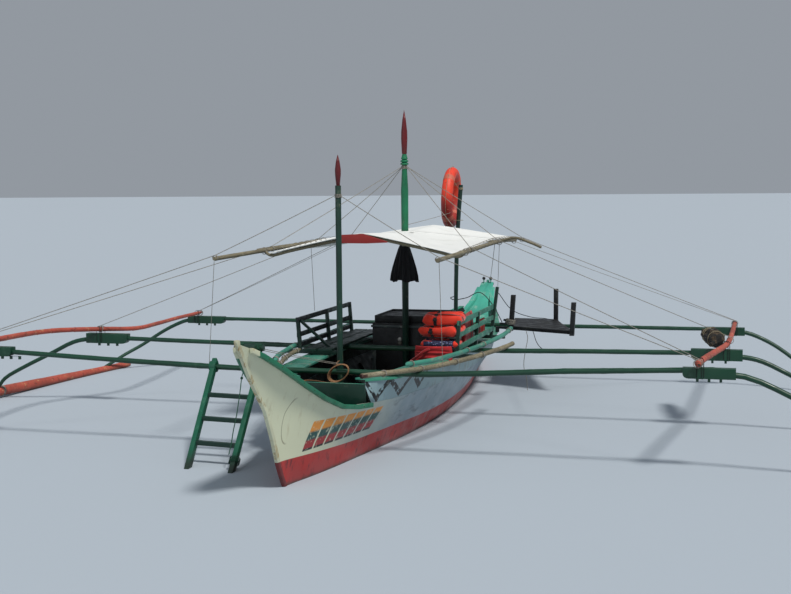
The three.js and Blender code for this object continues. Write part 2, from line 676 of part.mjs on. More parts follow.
function platform() {
  const { top, thick, slats, slatGap, carrier, carrierHalf, inboard, post, postTop } = PLATFORM;
  const under = top - thick + 2;
  const pieces = [];
  for (let i = 0; i < slats; i += 1) {
    pieces.push(platformSlab([0, 1], [i / slats, (i + 1) / slats - slatGap], top - thick, top));
  }
  for (const at of PLATFORM.carrierPlaces) {
    pieces.push(platformSlab([at - carrierHalf, at + carrierHalf], [inboard, 1], under - carrier, under));
  }
  const beam = BEAMS.rear;
  pieces.push(box(beam.x - 24, beam.x + 24, 700, 1330, under - carrier, under));
  for (const [along, across] of [[0.03, 0.04], [0.03, 0.96], [0.97, 0.94]]) {
    const [x, y] = platformPoint(along, across);
    pieces.push(box(x - post / 2, x + post / 2, y - post / 2, y + post / 2, top - thick - 6, postTop));
  }
  const [footX, footY] = platformPoint(PLATFORM.carrierPlaces[0], inboard * 0.9);
  const footLow = Math.max(capTop(footX - post), capTop(footX + post)) + 1;
  const half = post / 2;
  pieces.push(box(footX - half, footX + half, footY - half, footY + half, footLow, under - 4));
  return join(pieces).subtract(crossBeam(beam, GAP));
}

function engineHousing() {
  const { front, back, half, top, wall } = HOUSING;
  const low = FLOOR_Z + FLOOR_THICK + GAP;
  const body = box(front, back, -half, half, low, top);
  return body.subtract(box(front - wall, back + wall, -half + wall, half - wall, low - 50, top + 50));
}

// Cover of the housing: a tray with a raised rim above and a skirt below
function housingLid() {
  const { front, back, half, low, top, wall, plateLow, plateTop } = LID;
  const hollow = (z0, z1) => box(front - wall, back + wall, -half + wall, half - wall, z0, z1);
  return box(front, back, -half, half, low, top).subtract(hollow(low - 10, plateLow))
    .subtract(hollow(plateTop, top + 10));
}

function engine() {
  const { front, back, half, bottom, top } = ENGINE;
  return box(front, back, -half, half, bottom, top);
}

function propellerAxis(distance) {
  return SHAFT_TO.clone().addScaledVector(SHAFT_TO.clone().sub(SHAFT_FROM).normalize(), distance);
}

function propeller() {
  const from = propellerAxis(-PROPELLER.length);
  const to = propellerAxis(16);
  const axis = to.clone().sub(from).normalize();
  const hub = rod(from, to, PROPELLER.hub, 14, PROPELLER.hub * 0.6);
  const middle = propellerAxis(-30);
  const toShaft = new THREE.Quaternion().setFromUnitVectors(new THREE.Vector3(0, 0, 1), axis);
  const pieces = [hub];
  for (let i = 0; i < PROPELLER.blades; i += 1) {
    const blade = new THREE.CylinderGeometry(1, 1, PROPELLER.thick, 14);
    blade.scale(PROPELLER.radius * 0.34, 1, PROPELLER.radius * 0.46);
    blade.rotateX(Math.PI / 2);
    blade.rotateY(PROPELLER.pitch);
    blade.translate(0, PROPELLER.radius * 0.54, 0);
    blade.rotateZ((2 * Math.PI * i) / PROPELLER.blades);
    blade.applyQuaternion(toShaft);
    blade.translate(middle.x, middle.y, middle.z);
    pieces.push(toSolid(blade));
  }
  const shaftEnd = SHAFT_TO.clone().addScaledVector(axis, -20);
  return join(pieces).subtract(rod(SHAFT_FROM, shaftEnd, SHAFT_RADIUS + GAP, 14));
}

function propellerShaft() {
  const axis = SHAFT_TO.clone().sub(SHAFT_FROM).normalize();
  return rod(SHAFT_FROM, SHAFT_TO.clone().addScaledVector(axis, -20 - GAP), SHAFT_RADIUS, 14);
}

// Stern post with the rudder gudgeons and the bracket that carries the shaft's end
function sternPost() {
  const post = endPost(false, 30, 46);
  const bearing = rod(propellerAxis(-170), propellerAxis(-90), 30, 14);
  const bracket = plateXZ([[-3538, -262], [-3700, -215], [-3768, -345], [-3700, -352]], 22);
  const eyes = [RUDDER_LOW, RUDDER_HIGH].map((at) => rudderEye(at));
  return join([post, bearing, bracket, ...eyes])
    .subtract(rod(SHAFT_FROM, propellerAxis(50), SHAFT_RADIUS + SHAFT_CLEAR, 14))
    .subtract(rudderStock(SHAFT_CLEAR));
}

function rudderDirection() {
  return RUDDER_HIGH.clone().sub(RUDDER_LOW).normalize();
}

function rudderEye(at) {
  const along = rudderDirection();
  const eye = rod(at.clone().addScaledVector(along, -18), at.clone().addScaledVector(along, 18), 32, 14);
  const strap = box(at.x, at.x + 76, -14, 14, at.z - 14, at.z + 14);
  return eye.add(strap);
}

function rudderStock(extra) {
  const along = rudderDirection();
  const low = RUDDER_LOW.clone().addScaledVector(along, -130);
  const high = RUDDER_HIGH.clone().addScaledVector(along, YOKE.above + 22);
  return rod(low, high, RUDDER_RADIUS + extra, 14);
}

function rudder() {
  const blade = plateXZ([[-4118, -20], [-4118, -470], [-4180, -500], [-4440, -500], [-4500, -430],
    [-4455, -60], [-4330, -8], [-4180, -8]], 30);
  const cheek = plateXZ([[-4056, -72], [-4135, 20], [-4230, -10], [-4230, -90], [-4100, -120]], 36);
  const head = RUDDER_HIGH.clone().addScaledVector(rudderDirection(), YOKE.above);
  const yoke = rod(head.clone().setY(-YOKE.half), head.clone().setY(YOKE.half), YOKE.radius, 12);
  return join([rudderStock(0), blade, cheek, yoke]);
}

// Centre of the front beam where a ladder rail turns on it, on the beam's own straight stretch
function ladderPivot(y) {
  const beam = BEAMS.front;
  const [from, to] = BEAM_PLACES.map((at) => -at * BEAM_END).filter((place) => place > -1400 && place < -700);
  const rising = THREE.MathUtils.mapLinear(y, from, to, beamZ(beam, from), beamZ(beam, to));
  return new THREE.Vector3(beam.x, y, Math.max(beam.z, rising));
}

// Ladder: two rails whose eyes turn on the front beam, with flat rungs
function ladder() {
  const rails = [LADDER.inner, LADDER.outer].map(({ y, foot: [footX, footY] }) => {
    const head = ladderPivot(y);
    const waterline = new THREE.Vector3(footX, footY, 0);
    return { head, waterline, foot: head.clone().lerp(waterline, 1 - LADDER.lowZ / head.z) };
  });
  const pieces = rails.flatMap(({ head, foot }) => {
    const along = foot.clone().sub(head).normalize();
    const [near, far] = [-1, 1].map((sign) => head.clone().setY(head.y + sign * LADDER.eyeWidth));
    return [
      board(head.clone().addScaledVector(along, -78), foot, LADDER.rail, LADDER.depth),
      rod(near, far, LADDER.eye, 16),
    ];
  });
  for (const at of RUNG_PLACES) {
    const [inner, outer] = rails.map(({ head, waterline }) => head.clone().lerp(waterline, at));
    pieces.push(board(inner, outer, LADDER.rungDeep, LADDER.rungHigh, new THREE.Vector3(1, 0, 0)));
  }
  return join(pieces).subtract(crossBeam(BEAMS.front, HINGE_CLEAR));
}

// Mast with turned neck rings and a long spear head
function mast({ x, radius, spikeBase, tip }, necks) {
  const foot = FLOOR_Z + FLOOR_THICK + GAP;
  const profile = [[0, foot], [radius, foot], [radius * 0.96, spikeBase - 130 * necks]];
  for (let i = 0; i < necks; i += 1) {
    const z = spikeBase - 125 + i * 30;
    profile.push([radius * 0.55, z], [radius * 0.95, z + 8], [radius * 0.95, z + 20]);
  }
  const length = tip - spikeBase;
  profile.push([radius * 0.5, spikeBase - 4], [radius * 0.62, spikeBase],
    [radius * 0.95, spikeBase + length * 0.35], [radius * 0.98, spikeBase + length * 0.5],
    [radius * 0.6, spikeBase + length * 0.78], [0, tip]);
  const geometry = new THREE.LatheGeometry(profile.map(([r, z]) => new THREE.Vector2(r, z)), 16);
  geometry.rotateX(Math.PI / 2);
  geometry.translate(x, 0, 0);
  return toSolid(geometry);
}

function aftPole() {
  const foot = FLOOR_Z + FLOOR_THICK + GAP;
  return rod(new THREE.Vector3(AFT_POLE.x, 0, foot), new THREE.Vector3(AFT_POLE.x, 0, AFT_POLE.top),
    AFT_POLE.radius, 14, AFT_POLE.radius * 0.85);
}

// Life ring hung beside the aft pole
const BUOY = { ring: 315, radius: 60, x: -2662, y: -95, z: 2262, turn: 0.047 };

function lifebuoy() {
  const ring = new THREE.TorusGeometry(BUOY.ring, BUOY.radius, 14, 36);
  ring.rotateX(Math.PI / 2);
  ring.rotateZ(BUOY.turn);
  ring.translate(BUOY.x, BUOY.y, BUOY.z);
  return toSolid(ring);
}

function awningZ(x, y) {
  const rows = AWNING_ROWS.slice().reverse();
  const ridge = curveValue(rows, x, 1);
  const edge = curveValue(rows, x, 2);
  return ridge - (ridge - edge) * (Math.abs(y) / AWNING_HALF) ** 1.1;
}

// One awning panel as a thin curved sheet
function awningPanel(fromX, toX) {
  const steps = 8;
  const across = 12;
  const rings = Array.from({ length: steps + 1 }, (_, i) => {
    const x = THREE.MathUtils.lerp(fromX, toX, i / steps);
    const ys = Array.from({ length: across + 1 }, (_, k) => AWNING_HALF * ((2 * k) / across - 1));
    return [...ys.map((y) => new THREE.Vector3(x, y, awningZ(x, y))),
      ...ys.slice().reverse().map((y) => new THREE.Vector3(x, y, awningZ(x, y) - AWNING_CLOTH))];
  });
  const mastHole = rod(new THREE.Vector3(MAIN_MAST.x, 0, 1700), new THREE.Vector3(MAIN_MAST.x, 0, 2100),
    MAIN_MAST.radius + 8, 16);
  return loftSolid(rings).subtract(mastHole);
}

// Pole under the cloth from side to side, with its free ends beyond the edges
function awningCross(x, portEnds, starboardEnds) {
  const drop = AWNING_CLOTH + AWNING_CROSS_RADIUS + 1.5;
  const under = [0, 250, 500, 750, AWNING_HALF].map((y) => [y, awningZ(x, y) - drop]);
  const port = [...under, ...portEnds];
  const starboard = [...under.slice(1), ...starboardEnds].reverse().map(([y, z]) => [-y, z]);
  const points = [...starboard, ...port].map(([y, z]) => new THREE.Vector3(x, y, z));
  return evenPole(points, AWNING_CROSS_RADIUS, 8, 1);
}

function awningFrame() {
  const pieces = Object.values(SIDES).map((mirror) => evenPole(AWNING_SIDE_POLE.map((p) => vec(p, mirror)),
    AWNING_SIDE_RADIUS, 10, 3));
  pieces.push(awningCross(1500, CROSS_ENDS.front, CROSS_ENDS.front));
  pieces.push(awningCross(AWNING_SEAM, CROSS_ENDS.seamPort, CROSS_ENDS.seamStarboard));
  pieces.push(awningCross(-1330, CROSS_ENDS.rear, CROSS_ENDS.rear));
  const ridgeY = MAIN_MAST.radius + 18;
  const ridge = [1540, 650, -250, -1400].map((x) => new THREE.Vector3(x, ridgeY, awningZ(x, ridgeY) - 26));
  pieces.push(evenPole(ridge, 16, 8, 3));
  return join(pieces);
}

// Painted board across the front edge of the awning
const FASCIA = { x: 1572, thick: 18, top: 1944 };

function fascia() {
  const outline = [[-330, 0], [-300, -90], [100, -92], [230, -60], [290, -15], [120, 0]];
  const shape = new THREE.Shape(outline.map(([y, z]) => new THREE.Vector2(y, FASCIA.top + z)));
  return plateYZ(shape, FASCIA.x, FASCIA.x + FASCIA.thick);
}

// Collar round a mast with the ropes that run from it over the awning poles to the outriggers
function stays(x, z, mastRadius, runs) {
  const collar = rod(new THREE.Vector3(x, 0, z - 16), new THREE.Vector3(x, 0, z + 16), mastRadius + 9, 16);
  const ropes = Object.entries(runs).flatMap(([side, lines]) => lines.flatMap((run) => {
    const start = [x + Math.sign(run[0][0] - x) * 6, mastRadius + 4, z];
    const points = [start, ...run].map((p) => vec(p, SIDES[side]));
    const spans = points.slice(1).map((to, i) => rod(points[i], to, ROPE_RADIUS, 6));
    const knots = points.slice(1, -1).map((at) => {
      const knot = new THREE.SphereGeometry(ROPE_RADIUS * 1.6, 8, 6);
      knot.translate(at.x, at.y, at.z);
      return toSolid(knot);
    });
    return [...spans, ...knots];
  }));
  const bore = rod(new THREE.Vector3(x, 0, z - 40), new THREE.Vector3(x, 0, z + 40), mastRadius + GAP, 16);
  return join([collar, ...ropes]).subtract(bore);
}

// Ropes from each mast: the knot on the awning's pole, then the end on the spar
const FORE_RUNS = {
  port: [[[2660, 1026, 1797], [2610, 3187, 969]]],
  starboard: [[[2660, 1026, 1797], [2742, 3566, 971]]],
};
const MAIN_RUNS = {
  port: [
    [[1300, 1011, 1812], [2540, 3194, 968]],
    [[-100, 1001, 1828], [60, 3416, 861]],
    [[-250, 1245, 1845], [-2400, 3445, 769]],
  ],
  starboard: [
    [[1300, 1011, 1812], [2640, 3558, 969]],
    [[-100, 1001, 1828], [500, 3384, 872]],
    [[-1170, 973, 1808], [-2310, 3444, 772]],
  ],
};

// Dark cloth gathered round the main mast under the awning
function mastCloth() {
  const rows = [[1780, 42, 42], [1700, 50, 80], [1560, 50, 118], [1440, 56, 140], [1380, 58, 142]];
  const sides = 14;
  const rings = rows.map(([z, deep, wide]) => Array.from({ length: sides }, (_, k) => {
    const angle = (2 * Math.PI * k) / sides;
    return new THREE.Vector3(MAIN_MAST.x + deep * Math.cos(angle), -8 + wide * Math.sin(angle), z);
  }));
  const hole = rod(new THREE.Vector3(MAIN_MAST.x, 0, 1300), new THREE.Vector3(MAIN_MAST.x, 0, 1900),
    MAIN_MAST.radius + 2, 16);
  return loftSolid(rings).subtract(hole);
}

// Life vests piled on the port bench
function vestPile() {
  const rows = [[762, 305, 160], [860, 335, 182], [980, 305, 165], [1070, 230, 125], [1120, 125, 65]];
  const sides = 14;
  const rings = rows.map(([z, deep, wide], i) => Array.from({ length: sides }, (_, k) => {
    const angle = (2 * Math.PI * k) / sides;
    const square = 0.82 + 0.18 * Math.abs(Math.sin(2 * angle));
    return new THREE.Vector3(545 - 20 * i + deep * square * Math.cos(angle),
      600 - 8 * i + wide * square * Math.sin(angle), z);
  }));
  return loftSolid(rings);
}

// Rolled net lashed along the port spar
function netRoll() {
  const points = [[425, 3300, 852], [150, 3280, 846], [-200, 3225, 836], [-500, 3160, 826]];
  return pole(points.map((p) => vec(p)), [38, 67, 70, 44], 12, 3);
}

addNode('hull_shell', hullShell(), 'cream');
addNode('keel', keelBar(), 'red');
addNode('stem_post', endPost(true, 35, 44), 'cream');
addNode('stern_post', sternPost(), 'teal');
addNode('coaming_board', coamingBoard(), 'darkGreen');
addNode('floorboards', floorboards(), 'wood');
addNode('bow_deck', innerBoard(3420, 4150, 10, (x) => sheerAt(x).z - 60, 18, 10), 'green');
addNode('stern_deck', innerBoard(-4270, -3300, 10, (x) => sheerAt(x).z - 40, 18, 10), 'teal');
addNode('bow_bitt', bowBitt(), 'darkGreen');
for (const [name, beam] of Object.entries(BEAMS)) {
  addNode(`${name}_beam`, crossBeam(beam, 0), 'darkGreen');
}
for (const [side, mirror] of Object.entries(SIDES)) {
  addNode(`bow_rail_${side}`, sheerRail(BOW_RAIL.aft, BOW_RAIL.fore, mirror), 'green');
  addNode(`stern_rail_${side}`, sheerRail(STERN_RAIL.aft, STERN_RAIL.fore, mirror), 'teal');
  addNode(`washboard_${side}`, washboard(mirror), 'paleBlue');
  addNode(`side_deck_${side}`, sideDeck(mirror), 'teal');
  for (const name of Object.keys(BEAMS)) {
    addNode(`arm_${name}_${side}`, arm(name, mirror), 'darkGreen');
  }
  addNode(`float_${side}`, floatPole(mirror, 0), 'brick');
  addNode(`spar_${side}`, spar(side), 'brick');
  addNode(`side_pole_${side}`, sidePole(side, 0), 'teal');
  addNode(`bamboo_${side}`, bambooPole(side, 0), 'bamboo');
  addNode(`bench_${side}`, bench(side), 'slate');
}
addNode('aft_platform', platform(), 'wood');
addNode('engine_housing', engineHousing(), 'black');
addNode('housing_lid', housingLid(), 'black');
addNode('engine', engine(), 'metal');
addNode('propeller_shaft', propellerShaft(), 'metal');
addNode('propeller', propeller(), 'metal');
addNode('rudder', rudder(), 'darkGreen');
addNode('ladder', ladder(), 'green');
addNode('foremast', mast(FOREMAST, 0), 'darkGreen');
addNode('main_mast', mast(MAIN_MAST, 3), 'darkGreen');
addNode('aft_pole', aftPole(), 'darkGreen');
addNode('lifebuoy', lifebuoy(), 'orange');
addNode('awning_frame', awningFrame(), 'bamboo');
addNode('awning_front', awningPanel(AWNING_SEAM + 2, 1550), 'canvas');
addNode('awning_rear', awningPanel(-1370, AWNING_SEAM - 2), 'canvas');
addNode('awning_fascia', fascia(), 'red');
addNode('fore_stays', stays(FOREMAST.x, FORE_COLLAR_Z, FOREMAST.radius, FORE_RUNS), 'rope');
addNode('main_stays', stays(MAIN_MAST.x, MAIN_COLLAR_Z, MAIN_MAST.radius, MAIN_RUNS), 'rope');
addNode('mast_cloth', mastCloth(), 'black');
addNode('vest_pile', vestPile(), 'orange');
addNode('net_roll', netRoll(), 'black');

export default part;
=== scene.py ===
import json
import math

import bmesh
import bpy
import numpy as np
from mathutils import Matrix, Vector, noise
from mathutils.bvhtree import BVHTree

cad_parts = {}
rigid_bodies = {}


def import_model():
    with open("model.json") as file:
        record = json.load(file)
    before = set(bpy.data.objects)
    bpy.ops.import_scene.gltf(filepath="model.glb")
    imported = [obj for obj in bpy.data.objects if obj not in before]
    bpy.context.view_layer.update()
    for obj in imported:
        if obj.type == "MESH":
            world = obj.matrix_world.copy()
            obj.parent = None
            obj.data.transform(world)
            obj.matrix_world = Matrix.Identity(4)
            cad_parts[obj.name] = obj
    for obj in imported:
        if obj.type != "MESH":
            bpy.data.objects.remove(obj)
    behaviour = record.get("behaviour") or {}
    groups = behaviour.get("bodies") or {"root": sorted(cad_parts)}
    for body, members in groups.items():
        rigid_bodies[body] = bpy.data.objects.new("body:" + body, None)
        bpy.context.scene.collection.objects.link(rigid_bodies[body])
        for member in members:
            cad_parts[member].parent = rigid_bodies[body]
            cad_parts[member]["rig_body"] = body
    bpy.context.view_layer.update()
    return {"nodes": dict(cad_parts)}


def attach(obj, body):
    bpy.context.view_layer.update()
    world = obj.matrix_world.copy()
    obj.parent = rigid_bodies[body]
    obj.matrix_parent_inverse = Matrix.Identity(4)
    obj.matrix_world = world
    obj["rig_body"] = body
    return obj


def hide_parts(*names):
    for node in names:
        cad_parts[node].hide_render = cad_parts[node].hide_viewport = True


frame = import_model()

# Camera: place, level heading, level right, tilts in radians and lens in millimetres
EYE = Vector((13.048, 3.543, 2.4))
HEADING = Vector((-0.96326, -0.26857, 0))
RIGHT = Vector((-0.26857, 0.96326, 0))
PITCH = 0.0881091
ROLL = -0.0080285
LENS = 57.12
SENSOR = 36

# General sizes in metres
SIDES = {"port": 1, "starboard": -1}
AXES = {"x": 0, "y": 1, "z": 2}
SLICE_EDGE = 0.002
ROPE = 0.0045
CORD = 0.003
FRAMES = 20
SEED = 7
FLOOR_HALF = 300

# Masts: x, radius, foot of the painted head
FOREMAST = {"x": 2.24, "radius": 0.028, "spike": 2.41}
MAIN_MAST = {"x": -0.06, "radius": 0.03, "spike": 2.748}

# Bitt across the bow: shift to port and up, and the height above which it is raised
BITT_SHIFT = {"y": -0.03, "z": 0.025, "from": 1.12}

# Where the pale ends of the bow rails begin, top of the stem's red foot, heights of the masts' rope bands
RAIL_FORE = {"port": 4.45, "starboard": 4.38}
STEM_BAND = 0.228
FORE_BAND_Z = 2.315
MAIN_BAND_Z = 2.6

# Ropes from each mast over the awning's poles to the spars
FORE_RUNS = {
    "port": [[(2.66, 1.026, 1.797), (2.61, 3.187, 0.969)]],
    "starboard": [[(2.66, 1.026, 1.797), (2.742, 3.566, 0.971)]],
}
MAIN_RUNS = {
    "port": [
        [(1.3, 1.011, 1.812), (2.54, 3.194, 0.968)],
        [(-0.1, 1.001, 1.828), (0.06, 3.416, 0.861)],
        [(-0.25, 1.245, 1.845), (-2.4, 3.445, 0.769)],
    ],
    "starboard": [
        [(1.3, 1.011, 1.812), (2.64, 3.558, 0.969)],
        [(-0.1, 1.001, 1.828), (0.5, 3.384, 0.872)],
        [(-1.17, 0.973, 1.808), (-2.31, 3.444, 0.772)],
    ],
}

# Lighter taut lines: both ends
LIGHT_LINES = [
    [(2.69, -1.025, 1.744), (2.452, -1.2, 0.784)],
    [(2.62, 1.025, 1.75), (2.452, 1.015, 0.778)],
    [(0.2, -0.985, 1.774), (0.35, -0.9, 1.07)],
    [(-0.04, 0.99, 1.777), (-4.52, 0.055, 1.085)],
    [(-0.3, 0.99, 1.775), (-0.715, 0.892, 1.262)],
    [(-0.06, 0.033, 1.985), (-2.56, -0.03, 2.07)],
    [(-1.25, -0.965, 1.795), (-2.3, -3.43, 0.776)],
    [(-0.26, 1.06, 1.838), (-2.36, 3.43, 0.772)],
    [(2.27, 0.02, 0.792), (4.31, 0.03, 1.2)],
    [(2.27, -0.02, 0.786), (4.31, -0.045, 1.2)],
]

# Awning: side pole on each side, its cross poles as x and free ends, and the cloth's half width
AWNING_POLE = [(2.69, 1.025, 1.766), (1.5, 1.012, 1.78), (-0.25, 1.0, 1.8), (-1.45, 0.96, 1.764)]
AWNING_POLE_RADIUS = 0.02
CROSS_POLES = [
    (1.5, [(1.014, 1.776)], [(1.014, 1.776)]),
    (-0.25, [(1.01, 1.803), (1.17, 1.838), (1.33, 1.79), (1.455, 1.738)],
     [(1.01, 1.796), (1.477, 1.737), (1.793, 1.69)]),
    (-1.33, [(0.965, 1.76)], [(0.965, 1.76)]),
]
CROSS_RADIUS = 0.015
CROSS_DROP = 0.0165
AWNING_HALF = 0.94
AWNING_PANELS = {"awning_front": (-0.2, 1.55), "awning_rear": (-1.37, -0.3)}
PANEL_HEM = 0.012
SHEET_THICK = 0.0016
RIDGE_Y = 0.048
FASCIA = [(-0.21, 1.858), (0.06, 1.857), (0.27, 1.866), (0.27, 1.876), (0.03, 1.948), (-0.21, 1.938)]
FASCIA_X = (1.57, 1.59)

# Cloth round the main mast: height, depth and width down its length
MAST_CLOTH = [(1.785, 0.04, 0.04), (1.72, 0.048, 0.068), (1.62, 0.05, 0.098), (1.52, 0.052, 0.124),
              (1.44, 0.056, 0.138), (1.375, 0.06, 0.142)]

# Paint marks on the bows: the zigzag as run along the washboard and height, slanted bars and an oval scratch
ZIGZAG = [(1.6, 0.69), (1.66, 0.7), (1.8, 0.545), (2.06, 0.7), (2.278, 0.54), (2.561, 0.705),
          (2.78, 0.54), (2.93, 0.71)]
BARS = {"aft": 2.56, "fore": 3.66, "low": 0.25, "high": 0.456, "slant": 0.3, "width": 0.157}
SCRATCH = {"x": 3.8, "half": 0.09, "z": 0.55, "high": 0.185}

# Line of the port bamboo, which rests on the beams, and how much slimmer than in plain the other poles are
BAMBOO = [(3.0, 0.43, 0.8), (2.86, 0.53, 0.8), (2.62, 0.7, 0.799), (2.4, 0.84, 0.797), (2.1, 0.945, 0.793),
          (1.6, 1.07, 0.785), (1.1, 1.15, 0.775), (0.55, 1.215, 0.765), (0.25, 1.235, 0.762)]
BAMBOO_RADIUS = 0.023
SLIMMER = 0.85

# How much each beam rises to port, and the blocks that end farther out: inner part's limit and its shift
BEAM_RISE = {"front": 0.03, "middle": 0.01, "rear": 0.004}
SHORTER = {
    ("front", "starboard"): (3.15, 0.19),
    ("middle", "port"): (3.08, 0.08),
    ("rear", "port"): (3.13, 0.07),
}
AS_PLAIN = (0, 0)

# Platform: corners in plan, heights, planks, bearers and carriers
PLATFORM = {
    "fore": [(-1.5, 0.91), (-1.15, 1.68)],
    "aft": [(-2.45, 0.78), (-2.4, 1.31)],
    "top": 0.742,
    "thick": 0.018,
    "planks": 6,
    "bearers": (0.06, 0.5, 0.94),
    "carriers": (0.03, 0.5, 0.97),
    "inboard": -0.28,
}

# Platform posts: places along and across, height of the top and its shift in y
PLATFORM_POSTS = [(0.03, -0.02, 1.11, 0.03), (0.03, 0.985, 1.065, 0.02), (0.97, 0.97, 1.12, 0.0)]

# Lifebuoy and the pole that it hangs on
BUOY = {"centre": (-2.66, -0.085, 2.245), "ring": 0.318, "tube": 0.072, "heading": 0.05, "lean": 0.05}
AFT_POLE_LINE = [(-2.56, -0.01, 0.02), (-2.56, -0.006, 1.0), (-2.56, 0.016, 1.75), (-2.56, 0.062, 2.41)]

# Blocks at the beams' ends: x, spar's height, block's bottom, spar's y on each side
BLOCKS = [
    {"x": 2.45, "spar": 0.9295, "low": 0.794, "port": 3.2, "starboard": 3.54},
    {"x": 0.5, "spar": 0.835, "low": 0.681, "port": 3.385, "starboard": 3.38},
    {"x": -2.2, "spar": 0.745, "low": 0.614, "port": 3.44, "starboard": 3.43},
]


def rgb(red, green, blue):
    """A screen colour as linear light"""
    shares = (c / 255 for c in (red, green, blue))
    return tuple(s / 12.92 if s < 0.0404 else ((s + 0.055) / 1.055) ** 2.4 for s in shares) + (1,)


def darker(colour, share):
    return tuple(c * share for c in colour[:3]) + (1,)


def unit(vector):
    return np.asarray(vector, float) / np.linalg.norm(vector)


# Camera
def add_camera():
    up = Vector((0, 0, 1))
    forward = HEADING * math.cos(PITCH) - up * math.sin(PITCH)
    down = -HEADING * math.sin(PITCH) - up * math.cos(PITCH)
    across = RIGHT * math.cos(ROLL) - down * math.sin(ROLL)
    lower = RIGHT * math.sin(ROLL) + down * math.cos(ROLL)
    data = bpy.data.cameras.new("camera")
    data.lens = LENS
    data.sensor_width = SENSOR
    data.clip_end = 2000
    camera = bpy.data.objects.new("camera", data)
    bpy.context.scene.collection.objects.link(camera)
    camera.matrix_world = Matrix.Translation(EYE) @ Matrix((across, -lower, -forward)).transposed().to_4x4()
    bpy.context.scene.camera = camera


# Materials
class Look:
    """A material put together from noise, masks and blends on object coordinates"""

    def __init__(self, name):
        self.material = bpy.data.materials.new(name)
        self.material.use_nodes = True
        self.tree = self.material.node_tree
        self.tree.nodes.clear()
        self.place = self.node("ShaderNodeTexCoord").outputs["Object"]

    def node(self, kind, **settings):
        made = self.tree.nodes.new(kind)
        for key, value in settings.items():
            setattr(made, key, value)
        return made

    def feed(self, socket, value):
        if isinstance(value, bpy.types.NodeSocket):
            self.tree.links.new(value, socket)
        else:
            socket.default_value = value

    def stretch(self, x, y, z):
        made = self.node("ShaderNodeVectorMath", operation="MULTIPLY")
        self.feed(made.inputs[0], self.place)
        made.inputs[1].default_value = (x, y, z)
        return made.outputs[0]

    def axis(self, letter):
        made = self.node("ShaderNodeSeparateXYZ")
        self.feed(made.inputs[0], self.place)
        return made.outputs[AXES[letter]]

    def noise(self, scale, detail=4, where=None, rough=0.55):
        made = self.node("ShaderNodeTexNoise")
        self.feed(made.inputs["Vector"], self.place if where is None else where)
        made.inputs["Scale"].default_value = scale
        made.inputs["Detail"].default_value = detail
        made.inputs["Roughness"].default_value = rough
        return made.outputs["Fac"]

    def cells(self, scale, where=None, feature="F1"):
        made = self.node("ShaderNodeTexVoronoi", feature=feature)
        self.feed(made.inputs["Vector"], self.place if where is None else where)
        made.inputs["Scale"].default_value = scale
        return made.outputs["Distance"]

    def maths(self, operation, a, b=0.0, clamp=False):
        made = self.node("ShaderNodeMath", operation=operation, use_clamp=clamp)
        self.feed(made.inputs[0], a)
        self.feed(made.inputs[1], b)
        return made.outputs[0]

    def between(self, value, low, high, to_low=0.0, to_high=1.0):
        made = self.node("ShaderNodeMapRange", interpolation_type="SMOOTHSTEP")
        self.feed(made.inputs["Value"], value)
        settings = {"From Min": low, "From Max": high, "To Min": to_low, "To Max": to_high}
        for name, setting in settings.items():
            made.inputs[name].default_value = setting
        return made.outputs["Result"]

    def near(self, value, centre, reach, soft=0.3):
        """One where value is within reach of centre, zero away from it"""
        off = self.maths("ABSOLUTE", self.maths("SUBTRACT", value, centre))
        return self.between(off, reach, reach * (1 - soft))

    def curve(self, value, points):
        """Straight runs through a few points"""
        first, last = points[0][0], points[-1][0]
        share = self.maths("DIVIDE", self.maths("SUBTRACT", value, first), last - first)
        made = self.node("ShaderNodeFloatCurve")
        line = made.mapping.curves[0]
        while len(line.points) < len(points):
            line.points.new(0.5, 0.5)
        for point, (at, height) in zip(line.points, points):
            point.location = ((at - first) / (last - first), height)
            point.handle_type = "VECTOR"
        made.mapping.update()
        self.feed(made.inputs["Value"], share)
        return made.outputs[0]

    def blend(self, share, a, b):
        made = self.node("ShaderNodeMix", data_type="RGBA")
        self.feed(made.inputs[0], share)
        self.feed(made.inputs[6], a)
        self.feed(made.inputs[7], b)
        return made.outputs[2]

    def finish(self, colour, roughness, height=None, strength=0.4, depth=0.003, **settings):
        shader = self.node("ShaderNodeBsdfPrincipled")
        self.feed(shader.inputs["Base Color"], colour)
        self.feed(shader.inputs["Roughness"], roughness)
        for name, value in settings.items():
            shader.inputs[name.replace("_", " ")].default_value = value
        if height is not None:
            bump = self.node("ShaderNodeBump")
            bump.inputs["Strength"].default_value = strength
            bump.inputs["Distance"].default_value = depth
            self.feed(bump.inputs["Height"], height)
            self.feed(shader.inputs["Normal"], bump.outputs["Normal"])
        out = self.node("ShaderNodeOutputMaterial")
        self.feed(out.inputs["Surface"], shader.outputs[0])
        return self.material


def toned(look, colour, spread=0.16, scale=1.7):
    """Colour that varies slowly between a darker and a lighter tone"""
    dark = darker(colour, 1 - spread)
    light = tuple(min(c * (1 + spread), 1) for c in colour[:3]) + (1,)
    return look.blend(look.between(look.noise(scale, 5), 0.3, 0.7), dark, light)


